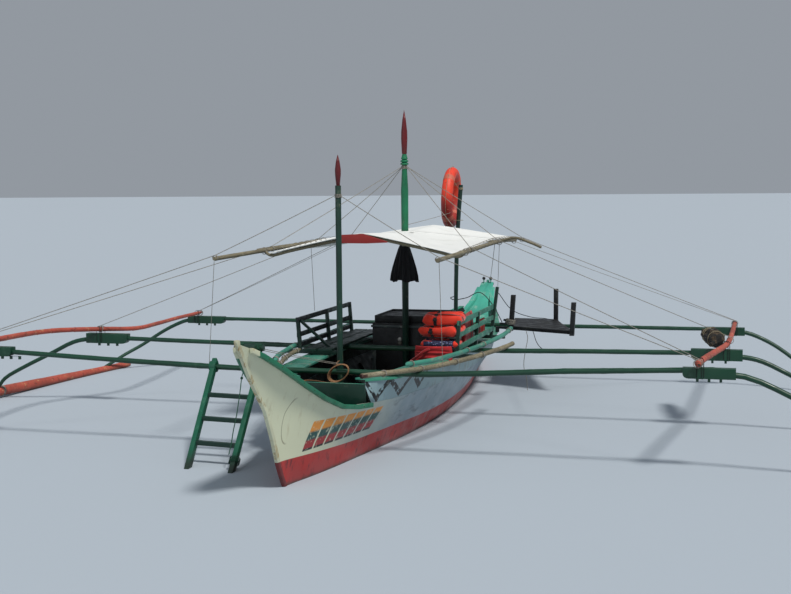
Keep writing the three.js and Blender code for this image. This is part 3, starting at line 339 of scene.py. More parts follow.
def weathered_paint(name, colour, under, wear=0.62, rough=0.5, grain=(4, 30, 30), wet=False):
    """Brushed paint over wood: tone, worn patches that follow the grain, grime and a soft relief"""
    look = Look(name)
    body = toned(look, colour)
    fibre = look.noise(3, 6, look.stretch(*grain), 0.65)
    patches = look.noise(7, 6)
    worn = look.maths("MULTIPLY", look.between(patches, wear - 0.06, wear + 0.05),
                      look.between(fibre, 0.4, 0.62))
    body = look.blend(worn, body, under)
    grime = look.between(look.noise(2.3, 8), 0.55, 0.78, 0, 0.5)
    body = look.blend(grime, body, darker(colour, 0.35))
    if wet:
        z = look.axis("z")
        body = look.blend(look.between(z, 0.16, 0.02, 0, 0.85), body, rgb(24, 28, 22))
    height = look.maths("ADD", look.maths("MULTIPLY", fibre, 0.6), look.maths("MULTIPLY", worn, -0.8))
    return look.finish(body, look.between(look.noise(11), 0.3, 0.7, rough - 0.12, rough + 0.16), height)


def hull_paint():
    """Cream at the bow to grey blue aft, a red band along the waterline, streaks, scuffs and slanted bars"""
    look = Look("hull_paint")
    x, y, z = (look.axis(letter) for letter in "xyz")
    cream = toned(look, rgb(204, 207, 178), 0.06, 0.8)
    blue = toned(look, rgb(136, 154, 164), 0.12, 1.1)
    drift = look.maths("ADD", x, look.maths("MULTIPLY", look.noise(1.4, 5), 1.1))
    paint = look.blend(look.between(drift, 2.3, 4.3), blue, cream)
    runs = look.noise(1, 6, look.stretch(16, 16, 1.1), 0.6)
    below_rail = look.between(z, 0.2, 0.62)
    rust = look.maths("MULTIPLY", look.between(runs, 0.57, 0.76), look.maths("MULTIPLY", below_rail, 0.4))
    paint = look.blend(rust, paint, rgb(146, 122, 74))
    scuff = look.maths("MULTIPLY", look.between(look.noise(5, 7, look.stretch(1, 1, 2.4)), 0.56, 0.7), 0.6)
    scuff = look.maths("MULTIPLY", scuff, look.between(x, 3.0, 1.9))
    paint = look.blend(scuff, paint, rgb(84, 96, 100))
    paint = look.blend(bars_mask(look, x, z), paint, bars_colour(look, z))
    paint = look.blend(scratch_mask(look, x, y, z), paint, rgb(104, 98, 72))
    red = toned(look, rgb(168, 42, 38), 0.16, 3)
    streaks = look.noise(26, 6, look.stretch(1, 1, 0.3))
    red = look.blend(look.between(streaks, 0.54, 0.68, 0, 0.75), red, rgb(78, 22, 26))
    slime = look.between(look.maths("ADD", z, look.maths("MULTIPLY", look.noise(9, 5), 0.05)), 0.07, 0.02)
    red = look.blend(slime, red, rgb(70, 44, 36))
    edge = look.maths("ADD", 0.186, look.maths("MULTIPLY", look.between(x, 2.6, 3.95), 0.042))
    band = look.between(look.maths("SUBTRACT", edge, z), -0.002, 0.002)
    paint = look.blend(band, paint, red)
    relief = look.maths("ADD", look.noise(2.2, 3), look.maths("MULTIPLY", look.noise(60, 4), 0.06))
    return look.finish(paint, look.between(look.noise(6), 0.3, 0.7, 0.34, 0.56), relief, 0.35, 0.008)


def scratch_mask(look, x, y, z):
    """Where the fore half of the oval scratch lies on the port bow"""
    away = look.maths("DIVIDE", look.maths("SUBTRACT", x, SCRATCH["x"]), SCRATCH["half"])
    rise = look.maths("DIVIDE", look.maths("SUBTRACT", z, SCRATCH["z"]), SCRATCH["high"])
    square = look.maths("ADD", look.maths("POWER", away, 2), look.maths("POWER", rise, 2))
    mark = look.near(square, 1, 0.1)
    mark = look.maths("MULTIPLY", mark, look.between(y, 0, 0.02))
    return look.maths("MULTIPLY", mark, look.between(x, 3.78, 3.84, 0, 0.6))


def bars_mask(look, x, z):
    """Where the slanted bars lie on the bow"""
    slant = look.maths("ADD", x, look.maths("MULTIPLY", z, BARS["slant"]))
    wave = look.maths("PINGPONG", look.maths("SUBTRACT", slant, BARS["aft"]), BARS["width"] / 2)
    bars = look.between(wave, 0.008, 0.014)
    along = look.maths("MULTIPLY", look.between(slant, BARS["aft"], BARS["aft"] + 0.01),
                       look.between(slant, BARS["fore"], BARS["fore"] - 0.01))
    high = look.maths("ADD", BARS["high"], look.maths("MULTIPLY", look.maths("SUBTRACT", x, 2.45), 0.04))
    upright = look.maths("MULTIPLY", look.between(z, BARS["low"], BARS["low"] + 0.006),
                         look.between(look.maths("SUBTRACT", z, high), 0, -0.006))
    mask = look.maths("MULTIPLY", look.maths("MULTIPLY", bars, along), upright)
    return look.maths("MULTIPLY", mask, look.between(look.noise(30, 5), 0.33, 0.45, 0.45, 1))


def bars_colour(look, z):
    orange = rgb(214, 140, 54)
    teal = rgb(30, 76, 72)
    red = rgb(150, 36, 40)
    upper = look.blend(look.between(z, 0.395, 0.42), teal, orange)
    middle = look.blend(look.between(z, 0.325, 0.35), red, upper)
    return look.blend(look.between(z, 0.268, 0.276), rgb(22, 22, 24), middle)


def washboard_paint():
    """Pale blue planks with a black zigzag that follows their turn towards the bow"""
    look = Look("washboard_paint")
    x, y, z = (look.axis(letter) for letter in "xyz")
    # The pale blue is darkened throughout: partly its own paint, partly painted shade for the shadow beneath
    # the cap and the bamboo.
    blue = toned(look, rgb(128, 152, 158), 0.14, 1.4)
    turn = look.maths("MAXIMUM", look.maths("SUBTRACT", 0.6, look.maths("ABSOLUTE", y)), 0)
    run = look.maths("ADD", x, turn)
    off = look.maths("SUBTRACT", z, look.curve(run, ZIGZAG))
    zigzag = look.maths("MULTIPLY", look.near(off, 0, 0.036, 0.12), look.between(run, 1.6, 1.62))
    chips = look.between(look.noise(24, 6), 0.36, 0.44)
    blue = look.blend(look.maths("MULTIPLY", zigzag, chips), blue, rgb(20, 22, 24))
    runs = look.noise(1, 6, look.stretch(18, 18, 1.4), 0.6)
    blue = look.blend(look.between(runs, 0.54, 0.74, 0, 0.6), blue, rgb(112, 104, 82))
    blue = look.blend(look.between(look.noise(6, 7), 0.58, 0.72, 0, 0.55), blue, rgb(88, 100, 104))
    return look.finish(blue, 0.5, look.noise(14, 5, look.stretch(1, 4, 9)), 0.3)


def bamboo_look():
    look = Look("bamboo_stem")
    stem = toned(look, rgb(122, 114, 92), 0.22, 2.5)
    fibre = look.noise(2, 7, look.stretch(3, 60, 60), 0.7)
    stem = look.blend(look.between(fibre, 0.46, 0.64, 0, 0.75), stem, rgb(70, 66, 50))
    stem = look.blend(look.between(look.noise(5, 6), 0.58, 0.72, 0, 0.5), stem, rgb(170, 164, 140))
    return look.finish(stem, 0.72, fibre, 0.5, 0.002)


def brick_look():
    """Red-brown paint on bamboo, worn to tan"""
    look = Look("brick_paint")
    body = toned(look, rgb(166, 74, 58), 0.22, 2)
    fibre = look.noise(2, 7, look.stretch(4, 40, 40), 0.7)
    patches = look.between(look.noise(13, 8, None, 0.72), 0.54, 0.66)
    worn = look.maths("MULTIPLY", patches, look.between(fibre, 0.36, 0.6))
    body = look.blend(worn, body, rgb(182, 142, 98))
    body = look.blend(look.between(look.noise(19, 8, None, 0.7), 0.52, 0.68, 0, 0.8), body, rgb(84, 36, 32))
    wet = look.between(look.axis("z"), 0.05, 0.0, 0, 0.7)
    body = look.blend(wet, body, rgb(54, 40, 32))
    return look.finish(body, 0.62, fibre, 0.5, 0.002)


def woven(look, warp, weft):
    """Threads that cross, as a height"""
    return look.maths("ADD", look.noise(1, 2, look.stretch(*warp)), look.noise(1, 2, look.stretch(*weft)))


def canvas_look():
    look = Look("awning_canvas")
    cloth = toned(look, rgb(232, 233, 230), 0.04, 0.9)
    cloth = look.blend(look.between(look.noise(2.6, 8), 0.56, 0.76, 0, 0.35), cloth, rgb(168, 170, 158))
    weave = woven(look, (900, 60, 60), (60, 900, 60))
    return look.finish(cloth, 0.82, weave, 0.25, 0.0008, Sheen_Weight=0.2)


def cloth_look(name, colour, shade, rough=0.85):
    look = Look(name)
    body = toned(look, colour, 0.14, 6)
    body = look.blend(look.between(look.noise(9, 6), 0.52, 0.72, 0, 0.6), body, shade)
    weave = woven(look, (900, 90, 90), (90, 90, 900))
    return look.finish(body, rough, weave, 0.3, 0.0008, Sheen_Weight=0.25)


def pattern_look():
    """Dark blue webbing with a pale leafy print"""
    look = Look("patterned_webbing")
    leaf = look.between(look.cells(46, look.stretch(1, 1, 1.4)), 0.22, 0.34)
    vein = look.between(look.noise(60, 3), 0.5, 0.56)
    body = look.blend(leaf, rgb(154, 166, 198), rgb(32, 40, 78))
    body = look.blend(vein, body, rgb(20, 24, 44))
    return look.finish(body, 0.75, look.noise(300, 2), 0.3, 0.0008)


def rope_look(name, colour, shade):
    look = Look(name)
    strand = look.blend(look.between(look.noise(240, 3), 0.4, 0.65), shade, colour)
    strand = look.blend(look.between(look.noise(5, 5), 0.5, 0.75, 0, 0.5), strand, shade)
    return look.finish(strand, 0.88, look.noise(500, 3), 0.5, 0.0008)


def net_look():
    look = Look("net_bundle")
    mesh = look.between(look.cells(70, None, "DISTANCE_TO_EDGE"), 0.05, 0.16)
    body = look.blend(mesh, rgb(96, 76, 50), rgb(28, 24, 18))
    body = look.blend(look.between(look.noise(9, 7), 0.4, 0.56), body, rgb(16, 15, 13))
    return look.finish(body, 0.9, mesh, 0.9, 0.004)


def metal_look(name, colour, rust, share=0.6, rough=0.42):
    look = Look(name)
    spots = look.between(look.noise(30, 7), share - 0.08, share + 0.08)
    body = look.blend(spots, toned(look, colour, 0.12, 9), rust)
    dull = look.between(spots, 0, 1, rough, 0.85)
    return look.finish(body, dull, look.noise(80, 5), 0.4, 0.001, Metallic=0.7)


def mast_look():
    """Dark green, and a brighter green on the main mast above the awning"""
    look = Look("mast_paint")
    z = look.axis("z")
    low = toned(look, rgb(10, 48, 36), 0.2, 5)
    high = toned(look, rgb(12, 104, 68), 0.15, 5)
    bright = look.maths("MULTIPLY", look.between(z, 1.85, 1.98), look.between(look.axis("x"), 1, 0.9))
    body = look.blend(bright, low, high)
    fibre = look.noise(3, 6, look.stretch(40, 40, 3), 0.65)
    worn = look.maths("MULTIPLY", look.between(look.noise(9, 6), 0.58, 0.68), look.between(fibre, 0.45, 0.6))
    body = look.blend(worn, body, rgb(96, 104, 84))
    return look.finish(body, 0.45, fibre, 0.3, 0.002)


def buoy_look():
    look = Look("buoy_shell")
    body = toned(look, rgb(224, 62, 36), 0.1, 3)
    # Painted shade: the ring turns dark red towards its bottom, standing for the shadowed lower half.
    body = look.blend(look.between(look.axis("z"), 2.36, 2.12, 0, 0.85), body, rgb(132, 24, 20))
    body = look.blend(look.between(look.noise(14, 7), 0.56, 0.72, 0, 0.6), body, rgb(130, 36, 28))
    chalk = look.noise(26, 7, None, 0.7)
    body = look.blend(look.between(chalk, 0.6, 0.72, 0, 0.6), body, rgb(222, 130, 100))
    return look.finish(body, 0.55, look.noise(40, 5), 0.25, 0.002)


def plain_look(name, colour, rough=0.6, relief=0.2, **settings):
    look = Look(name)
    body = toned(look, colour, 0.12, 4)
    body = look.blend(look.between(look.noise(10, 6), 0.55, 0.75, 0, 0.5), body, darker(colour, 0.5))
    return look.finish(body, rough, look.noise(50, 5), relief, 0.002, **settings)


def add_looks():
    wood = rgb(150, 138, 112)
    return {
        "hull": hull_paint(),
        # The inside is nearly black: partly its dark green paint, partly painted shade for the shadow inside
        # the hull.
        "inside": weathered_paint("inside_paint", rgb(6, 14, 12), rgb(28, 32, 26), 0.66, 0.6),
        "wash": washboard_paint(),
        "cap": weathered_paint("cap_paint", rgb(50, 126, 104), rgb(120, 144, 130), 0.56, 0.5),
        "teal": weathered_paint("teal_paint", rgb(56, 130, 112), rgb(120, 140, 124), 0.58, 0.5),
        "stern": weathered_paint("stern_paint", rgb(62, 156, 136), rgb(130, 176, 158), 0.58, 0.5,
                                 (4, 30, 4)),
        "ledge": weathered_paint("ledge_paint", rgb(74, 84, 84), rgb(130, 134, 126), 0.6, 0.5),
        "bench": weathered_paint("bench_paint", rgb(46, 112, 94), rgb(108, 150, 132), 0.58, 0.5),
        # Dark ends of cut poles: partly their end grain, partly painted shade standing for the dark hollow
        # inside a cut bamboo.
        "end": weathered_paint("end_grain", rgb(52, 26, 22), rgb(84, 60, 46), 0.5, 0.8),
        "rail": weathered_paint("rail_paint", rgb(16, 104, 74), rgb(70, 124, 96), 0.6, 0.42),
        "beam": weathered_paint("beam_paint", rgb(6, 58, 38), rgb(40, 76, 58), 0.66, 0.4, (30, 4, 30)),
        "dark": weathered_paint("dark_green_paint", rgb(8, 44, 34), rgb(50, 66, 54), 0.64, 0.45),
        "slate": weathered_paint("slate_paint", rgb(16, 24, 26), rgb(56, 66, 64), 0.6, 0.5),
        "slat": weathered_paint("slat_paint", rgb(9, 11, 14), rgb(46, 48, 42), 0.6, 0.5, (30, 4, 30)),
        "black": weathered_paint("black_paint", rgb(8, 10, 12), rgb(34, 38, 36), 0.66, 0.5),
        "ladder": weathered_paint("ladder_paint", rgb(12, 80, 58), rgb(50, 104, 84), 0.62, 0.42, (30, 30, 4),
                                  True),
        "wood": weathered_paint("bare_wood", rgb(104, 98, 80), wood, 0.5, 0.7),
        "stem": weathered_paint("stem_paint", rgb(196, 198, 170), rgb(158, 136, 92), 0.52, 0.5, (20, 20, 4)),
        "keel": weathered_paint("keel_paint", rgb(112, 34, 36), rgb(70, 40, 36), 0.58, 0.6),
        "red": weathered_paint("red_paint", rgb(142, 34, 30), rgb(150, 84, 70), 0.66, 0.5),
        "spike": weathered_paint("spike_paint", rgb(96, 12, 18), rgb(60, 20, 22), 0.66, 0.45),
        "brick": brick_look(),
        "bamboo": bamboo_look(),
        "canvas": canvas_look(),
        "mast": mast_look(),
        "buoy": buoy_look(),
        "net": net_look(),
        "print": pattern_look(),
        "rope": rope_look("pale_rope", rgb(186, 176, 148), rgb(118, 106, 82)),
        "stay": rope_look("grey_rope", rgb(172, 168, 158), rgb(104, 100, 92)),
        "brown": rope_look("brown_rope", rgb(160, 120, 82), rgb(96, 66, 44)),
        "cord": rope_look("dark_cord", rgb(34, 36, 36), rgb(16, 18, 20)),
        "green_rope": rope_look("green_rope", rgb(26, 92, 66), rgb(12, 44, 34)),
        "orange": cloth_look("orange_cloth", rgb(222, 48, 22), rgb(150, 26, 18)),
        "crimson": cloth_look("crimson_cloth", rgb(168, 20, 26), rgb(88, 10, 16)),
        "black_cloth": cloth_look("black_cloth", rgb(12, 13, 17), rgb(5, 6, 9), 0.9),
        "faded": plain_look("faded_band", rgb(196, 96, 74), 0.6),
        "knob": plain_look("black_knob", rgb(20, 20, 22), 0.35),
        "iron": metal_look("iron", rgb(96, 96, 92), rgb(92, 58, 40), 0.52, 0.5),
        "nail": metal_look("nail_iron", rgb(84, 78, 70), rgb(96, 58, 38), 0.46, 0.5),
        "steel": metal_look("steel", rgb(150, 148, 142), rgb(104, 84, 64), 0.64, 0.32),
        "bronze": metal_look("bronze", rgb(176, 146, 90), rgb(78, 96, 74), 0.58, 0.34),
    }


# Shapes: each is a pair of points and faces, closed
def circle(sides, radius=1.0):
    angles = np.linspace(0, 2 * math.pi, sides, endpoint=False)
    return np.column_stack([np.cos(angles), np.sin(angles)]) * radius


def strand_outline(sides=9):
    """Round of a rope laid from three strands"""
    angles = np.linspace(0, 2 * math.pi, sides, endpoint=False)
    return np.column_stack([np.cos(angles), np.sin(angles)]) * (0.86 + 0.14 * np.cos(3 * angles))[:, None]


def even_path(points, spacing):
    points = np.asarray(points, float)
    along = np.concatenate([[0], np.cumsum(np.linalg.norm(np.diff(points, axis=0), axis=1))])
    places = np.linspace(0, along[-1], max(2, int(round(along[-1] / spacing)) + 1))
    return np.column_stack([np.interp(places, along, points[:, k]) for k in range(3)])


def smooth_path(points, spacing):
    """Even points on a smooth curve through the given ones"""
    points = np.asarray(points, float)
    if len(points) < 3:
        return even_path(points, spacing)
    padded = np.vstack([2 * points[0] - points[1], points, 2 * points[-1] - points[-2]])
    t = np.linspace(0, 1, 16, endpoint=False)[:, None]
    parts = []
    for i in range(len(points) - 1):
        a, b, c, d = padded[i:i + 4]
        square, cube = 2 * a - 5 * b + 4 * c - d, 3 * b - a - 3 * c + d
        parts.append(0.5 * (2 * b + (c - a) * t + square * t**2 + cube * t**3))
    return even_path(np.vstack(parts + [points[-1:]]), spacing)


def frames_along(path, closed):
    tangents = np.roll(path, -1, 0) - np.roll(path, 1, 0) if closed else np.gradient(path, axis=0)
    tangents = tangents / np.linalg.norm(tangents, axis=1)[:, None]
    side = np.cross(tangents[0], (1, 0, 0) if abs(tangents[0][2]) > 0.9 else (0, 0, 1))
    across = []
    for tangent in tangents:
        side = side - tangent * (side @ tangent)
        side = side / np.linalg.norm(side)
        across.append(side)
    across = np.array(across)
    return across, np.cross(tangents, across)


def sweep(path, outline, closed=False, turn=None, scale=None):
    """Outline carried along a path, turned and scaled at each point"""
    path = np.asarray(path, float)
    across, up = frames_along(path, closed)
    count, sides = len(path), len(outline)
    turn = np.zeros(count) if turn is None else turn
    scale = np.ones(count) if scale is None else np.asarray(scale, float)
    cos, sin = np.cos(turn)[:, None], np.sin(turn)[:, None]
    u = (outline[:, 0] * cos - outline[:, 1] * sin) * scale[:, None]
    v = (outline[:, 0] * sin + outline[:, 1] * cos) * scale[:, None]
    points = path[:, None] + u[..., None] * across[:, None] + v[..., None] * up[:, None]
    return points.reshape(-1, 3), grid_faces(count, sides, closed)


def grid_faces(count, sides, closed):
    """Faces of a tube of rings, capped unless it closes on itself"""
    rings = np.arange(count if closed else count - 1)[:, None] * sides
    k = np.arange(sides)[None]
    onward = (rings + sides) % (count * sides)
    after = (k + 1) % sides
    quads = np.stack([rings + k, rings + after, onward + after, onward + k], -1)
    faces = quads.reshape(-1, 4).tolist()
    if not closed:
        faces.append(list(range(sides))[::-1])
        faces.append(list(range((count - 1) * sides, count * sides)))
    return faces


def tube(path, radii, sides=20, lumps=0.0, scale=9.0, seed=0):
    """Round pole with a radius at each point and an uneven surface"""
    path = np.asarray(path, float)
    points, faces = sweep(path, circle(sides), scale=radii)
    if lumps:
        offset = Vector((seed * 3.1, seed * 1.7, seed))
        grid = points.reshape(len(path), sides, 3)
        share = np.array([noise.noise(Vector(p) * scale + offset) for p in points])
        share = share.reshape(len(path), sides, 1)
        grid = path[:, None] + (grid - path[:, None]) * (1 + lumps * share)
        points = grid.reshape(-1, 3)
    return points, faces


def rope(points, radius=ROPE, closed=False):
    """Laid rope along a line"""
    path = even_path(points, radius * 1.5)
    if closed:
        path = path[:-1]
    steps = np.linalg.norm(np.diff(path, axis=0), axis=1)
    along = np.concatenate([[0], np.cumsum(steps)])
    turns = max(1, round((along[-1] + (steps[-1] if closed else 0)) / (radius * 9)))
    pitch = (along[-1] + (steps[-1] if closed else 0)) / turns
    return sweep(path, strand_outline() * radius, closed, 2 * math.pi * along / pitch)


def sagging(a, b, sag, spacing=0.05):
    """Line between two points with a little sag"""
    a, b = np.asarray(a, float), np.asarray(b, float)
    t = np.linspace(0, 1, max(3, int(np.linalg.norm(b - a) / spacing)))[:, None]
    path = a + (b - a) * t
    path[:, 2] -= (sag * 4 * t * (1 - t))[:, 0]
    return path


def loop(centre, across, up, wide, high, power=2.6, steps=44):
    """Closed rounded loop in the plane of two directions"""
    angles = np.linspace(0, 2 * math.pi, steps, endpoint=False)
    cos, sin = np.cos(angles), np.sin(angles)
    u = np.sign(cos) * np.abs(cos) ** (2 / power) * wide
    v = np.sign(sin) * np.abs(sin) ** (2 / power) * high
    path = np.asarray(centre) + u[:, None] * unit(across) + v[:, None] * unit(up)
    return np.vstack([path, path[:1]])


def helix(centre, axis, radius, length, turns):
    """Open coil round a straight axis"""
    axis = unit(axis)
    side = unit(np.cross(axis, (1, 0, 0) if abs(axis[2]) > 0.9 else (0, 0, 1)))
    other = np.cross(axis, side)
    t = np.linspace(0, 1, int(turns * 18) + 1)
    angles = 2 * math.pi * turns * t
    ring = side * np.cos(angles)[:, None] + other * np.sin(angles)[:, None]
    return np.asarray(centre) + axis * ((t - 0.5) * length)[:, None] + ring * radius


def lathe(profile, centre, sides=28):
    """Closed profile of radius and height turned round an upright axis"""
    angles = np.linspace(0, 2 * math.pi, sides, endpoint=False)
    rings = [[(centre[0] + r * math.cos(a), centre[1] + r * math.sin(a), centre[2] + z) for r, z in profile]
             for a in angles]
    return np.array(rings).reshape(-1, 3), grid_faces(sides, len(profile), True)


def block(low, high):
    (x0, y0, z0), (x1, y1, z1) = low, high
    points = np.array([(x, y, z) for x in (x0, x1) for y in (y0, y1) for z in (z0, z1)], float)
    faces = [[0, 1, 3, 2], [4, 6, 7, 5], [0, 4, 5, 1], [2, 3, 7, 6], [0, 2, 6, 4], [1, 5, 7, 3]]
    return points, faces


def prism(corners, low, high):
    """Upright solid over corners in plan"""
    count = len(corners)
    points = np.array([(x, y, z) for z in (low, high) for x, y in corners], float)
    faces = [list(range(count))[::-1], list(range(count, 2 * count))]
    faces += [[k, (k + 1) % count, (k + 1) % count + count, k + count] for k in range(count)]
    return points, faces


def ball(centre, radius, sides=14):
    angles = np.linspace(0.05, math.pi - 0.05, sides)
    path = np.array(centre, float) + np.column_stack([0 * angles, 0 * angles, radius * np.cos(angles)])
    return sweep(path, circle(sides), scale=radius * np.sin(angles))


# Pieces
def shade(mesh, angle):
    for polygon in mesh.polygons:
        polygon.use_smooth = True
    mesh.set_sharp_from_angle(angle=math.radians(angle))


def turn_outward(mesh):
    shell = bmesh.new()
    shell.from_mesh(mesh)
    bmesh.ops.recalc_face_normals(shell, faces=shell.faces)
    shell.to_mesh(mesh)
    shell.free()


def add_mesh(name, points, faces, material, angle=50):
    mesh = bpy.data.meshes.new(name)
    mesh.from_pydata(np.asarray(points).tolist(), [], faces)
    if material:
        mesh.materials.append(material)
    made = bpy.data.objects.new(name, mesh)
    bpy.context.scene.collection.objects.link(made)
    turn_outward(mesh)
    shade(mesh, angle)
    return made


def add_piece(name, shapes, material, body="boat", replaces=(), bevel=0.0, angle=50, ends=None):
    """One object out of closed shapes, with another finish on the ends of poles where one is given"""
    points, faces, base = [], [], 0
    for shape_points, shape_faces in shapes:
        points.append(np.asarray(shape_points, float))
        faces += [[i + base for i in face] for face in shape_faces]
        base += len(shape_points)
    made = add_mesh(name, np.vstack(points), faces, material, angle)
    if bevel:
        bevel_edges(made.data, bevel, 30)
        shade(made.data, angle)
    # The faces at the pole's ends get the dark end finish, partly painted shade for the hollow of the cut
    # stem.
    if ends:
        made.data.materials.append(ends)
        xs = [v.co.x for v in made.data.vertices]
        low, high = min(xs) + 0.05, max(xs) - 0.05
        for polygon in made.data.polygons:
            at = polygon.center.x
            polygon.material_index = int(abs(polygon.normal.x) > 0.5 and (at < low or at > high))
    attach(made, body)
    if replaces:
        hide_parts(*replaces)
    return made


def bevel_edges(mesh, width, angle, segments=2):
    shell = bmesh.new()
    shell.from_mesh(mesh)
    edges = [e for e in shell.edges if e.is_manifold and e.calc_face_angle(0) > math.radians(angle)]
    bmesh.ops.bevel(shell, geom=edges, offset=width, offset_type="OFFSET", segments=segments, profile=0.6,
                    affect="EDGES", clamp_overlap=True)
    bmesh.ops.recalc_face_normals(shell, faces=shell.faces)
    shell.to_mesh(mesh)
    shell.free()


def dress(node, looks, bevel=0.003, choose=None, angle=38, sharp=35, cuts=(), reshape=None,
          without=None):
    """Copy of a node's mesh with rounded edges and finishes chosen by each face's middle and direction"""
    source = frame["nodes"][node]
    mesh = source.data.copy()
    mesh.name = "show_" + node
    shell = bmesh.new()
    shell.from_mesh(mesh)
    bmesh.ops.remove_doubles(shell, verts=shell.verts, dist=1e-5)
    bmesh.ops.dissolve_limit(shell, angle_limit=math.radians(0.6), verts=shell.verts, edges=shell.edges)
    bmesh.ops.triangulate(shell, faces=[f for f in shell.faces if len(f.verts) > 40])
    for place, normal in cuts:
        bmesh.ops.bisect_plane(shell, geom=shell.verts[:] + shell.edges[:] + shell.faces[:], dist=1e-5,
                               plane_co=place, plane_no=normal)
    if reshape:
        for vertex in shell.verts:
            vertex.co = reshape(*vertex.co)
    shell.to_mesh(mesh)
    shell.free()
    if "custom_normal" in mesh.attributes:
        mesh.attributes.remove(mesh.attributes["custom_normal"])
    if without:
        mesh = cut_away(mesh, without)
    if bevel:
        bevel_edges(mesh, bevel, sharp)
    mesh.materials.clear()
    for look in looks:
        mesh.materials.append(look)
    for polygon in mesh.polygons:
        polygon.material_index = choose(polygon.center, polygon.normal) if choose else 0
    shade(mesh, angle)
    made = bpy.data.objects.new(mesh.name, mesh)
    bpy.context.scene.collection.objects.link(made)
    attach(made, source["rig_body"])
    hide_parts(node)
    return made


def cut_away(mesh, shape):
    """Mesh less a closed shape"""
    whole = bpy.data.objects.new("whole", mesh)
    bpy.context.scene.collection.objects.link(whole)
    cutter = add_mesh("cutter", *shape, None)
    modifier = whole.modifiers.new("cut", "BOOLEAN")
    modifier.operation = "DIFFERENCE"
    modifier.solver = "EXACT"
    modifier.object = cutter
    bpy.context.view_layer.update()
    rest = bpy.data.meshes.new_from_object(whole.evaluated_get(bpy.context.evaluated_depsgraph_get()))
    bpy.data.objects.remove(whole)
    bpy.data.objects.remove(cutter)
    rest.name = mesh.name
    return rest


def spine(node, axis, count, start=None, stop=None):
    """Middle points and radii of a long node, cut across at even places: rows of x, y, z, radius"""
    mesh = frame["nodes"][node].data
    points = np.array([v.co for v in mesh.vertices])
    edges = np.array([e.vertices for e in mesh.edges])
    a, b = points[edges[:, 0]], points[edges[:, 1]]
    low = points[:, axis].min() + SLICE_EDGE if start is None else start
    high = points[:, axis].max() - SLICE_EDGE if stop is None else stop
    rows = []
    for place in np.linspace(low, high, count):
        cut = (a[:, axis] - place) * (b[:, axis] - place) < 0
        share = (place - a[cut, axis]) / (b[cut, axis] - a[cut, axis])
        hits = a[cut] + (b[cut] - a[cut]) * share[:, None]
        middle = (hits.min(0) + hits.max(0)) / 2
        middle[axis] = place
        rows.append([*middle, np.delete(hits.max(0) - hits.min(0), axis).min() / 2])
    return np.array(rows)


def surface(node):
    mesh = frame["nodes"][node].data
    return BVHTree.FromPolygons([v.co[:] for v in mesh.vertices], [p.vertices[:] for p in mesh.polygons])


def along_spine(rows, spacing):
    """Smooth path and radii through the rows of a spine"""
    path = smooth_path(rows[:, :3], spacing)
    steps = np.linalg.norm(np.diff(rows[:, :3], axis=0), axis=1)
    from_start = np.concatenate([[0], np.cumsum(steps)])
    length = np.linalg.norm(np.diff(path, axis=0), axis=1)
    places = np.concatenate([[0], np.cumsum(length)])
    radii = np.interp(places / places[-1], from_start / from_start[-1], rows[:, 3])
    return path, radii, places


def rounded_ends(radii, places, reach=0.008):
    """Radii that draw in at both ends of a pole"""
    edge = np.minimum(places, places[-1] - places)
    return radii * np.where(edge < reach, 0.82 + 0.18 * np.sqrt(np.clip(edge / reach, 0, 1)), 1)


def culm(rows, random, sides=22, every=0.36, swell=0.08):
    """Bamboo stem with swollen rings"""
    path, radii, places = along_spine(rows, 0.012)
    rings = np.cumsum(random.uniform(every * 0.75, every * 1.25, 60))
    for at in rings[rings < places[-1]]:
        ring = swell * np.exp(-((places - at) / 0.008) ** 2)
        groove = 0.04 * np.exp(-((places - at - 0.018) / 0.014) ** 2)
        radii = radii * (1 + ring - groove)
    return tube(path, rounded_ends(radii, places), sides, 0.05, 5, int(random.integers(99)))


def timber(rows, random, sides=22, lumps=0.1):
    """Natural pole with a knot here and there"""
    path, radii, places = along_spine(rows, 0.02)
    for at in random.uniform(0.1, places[-1] - 0.1, max(2, int(places[-1] * 1.3))):
        radii = radii * (1 + 0.06 * np.exp(-((places - at) / 0.022) ** 2))
    return tube(path, rounded_ends(radii, places), sides, lumps, 7, int(random.integers(99)))


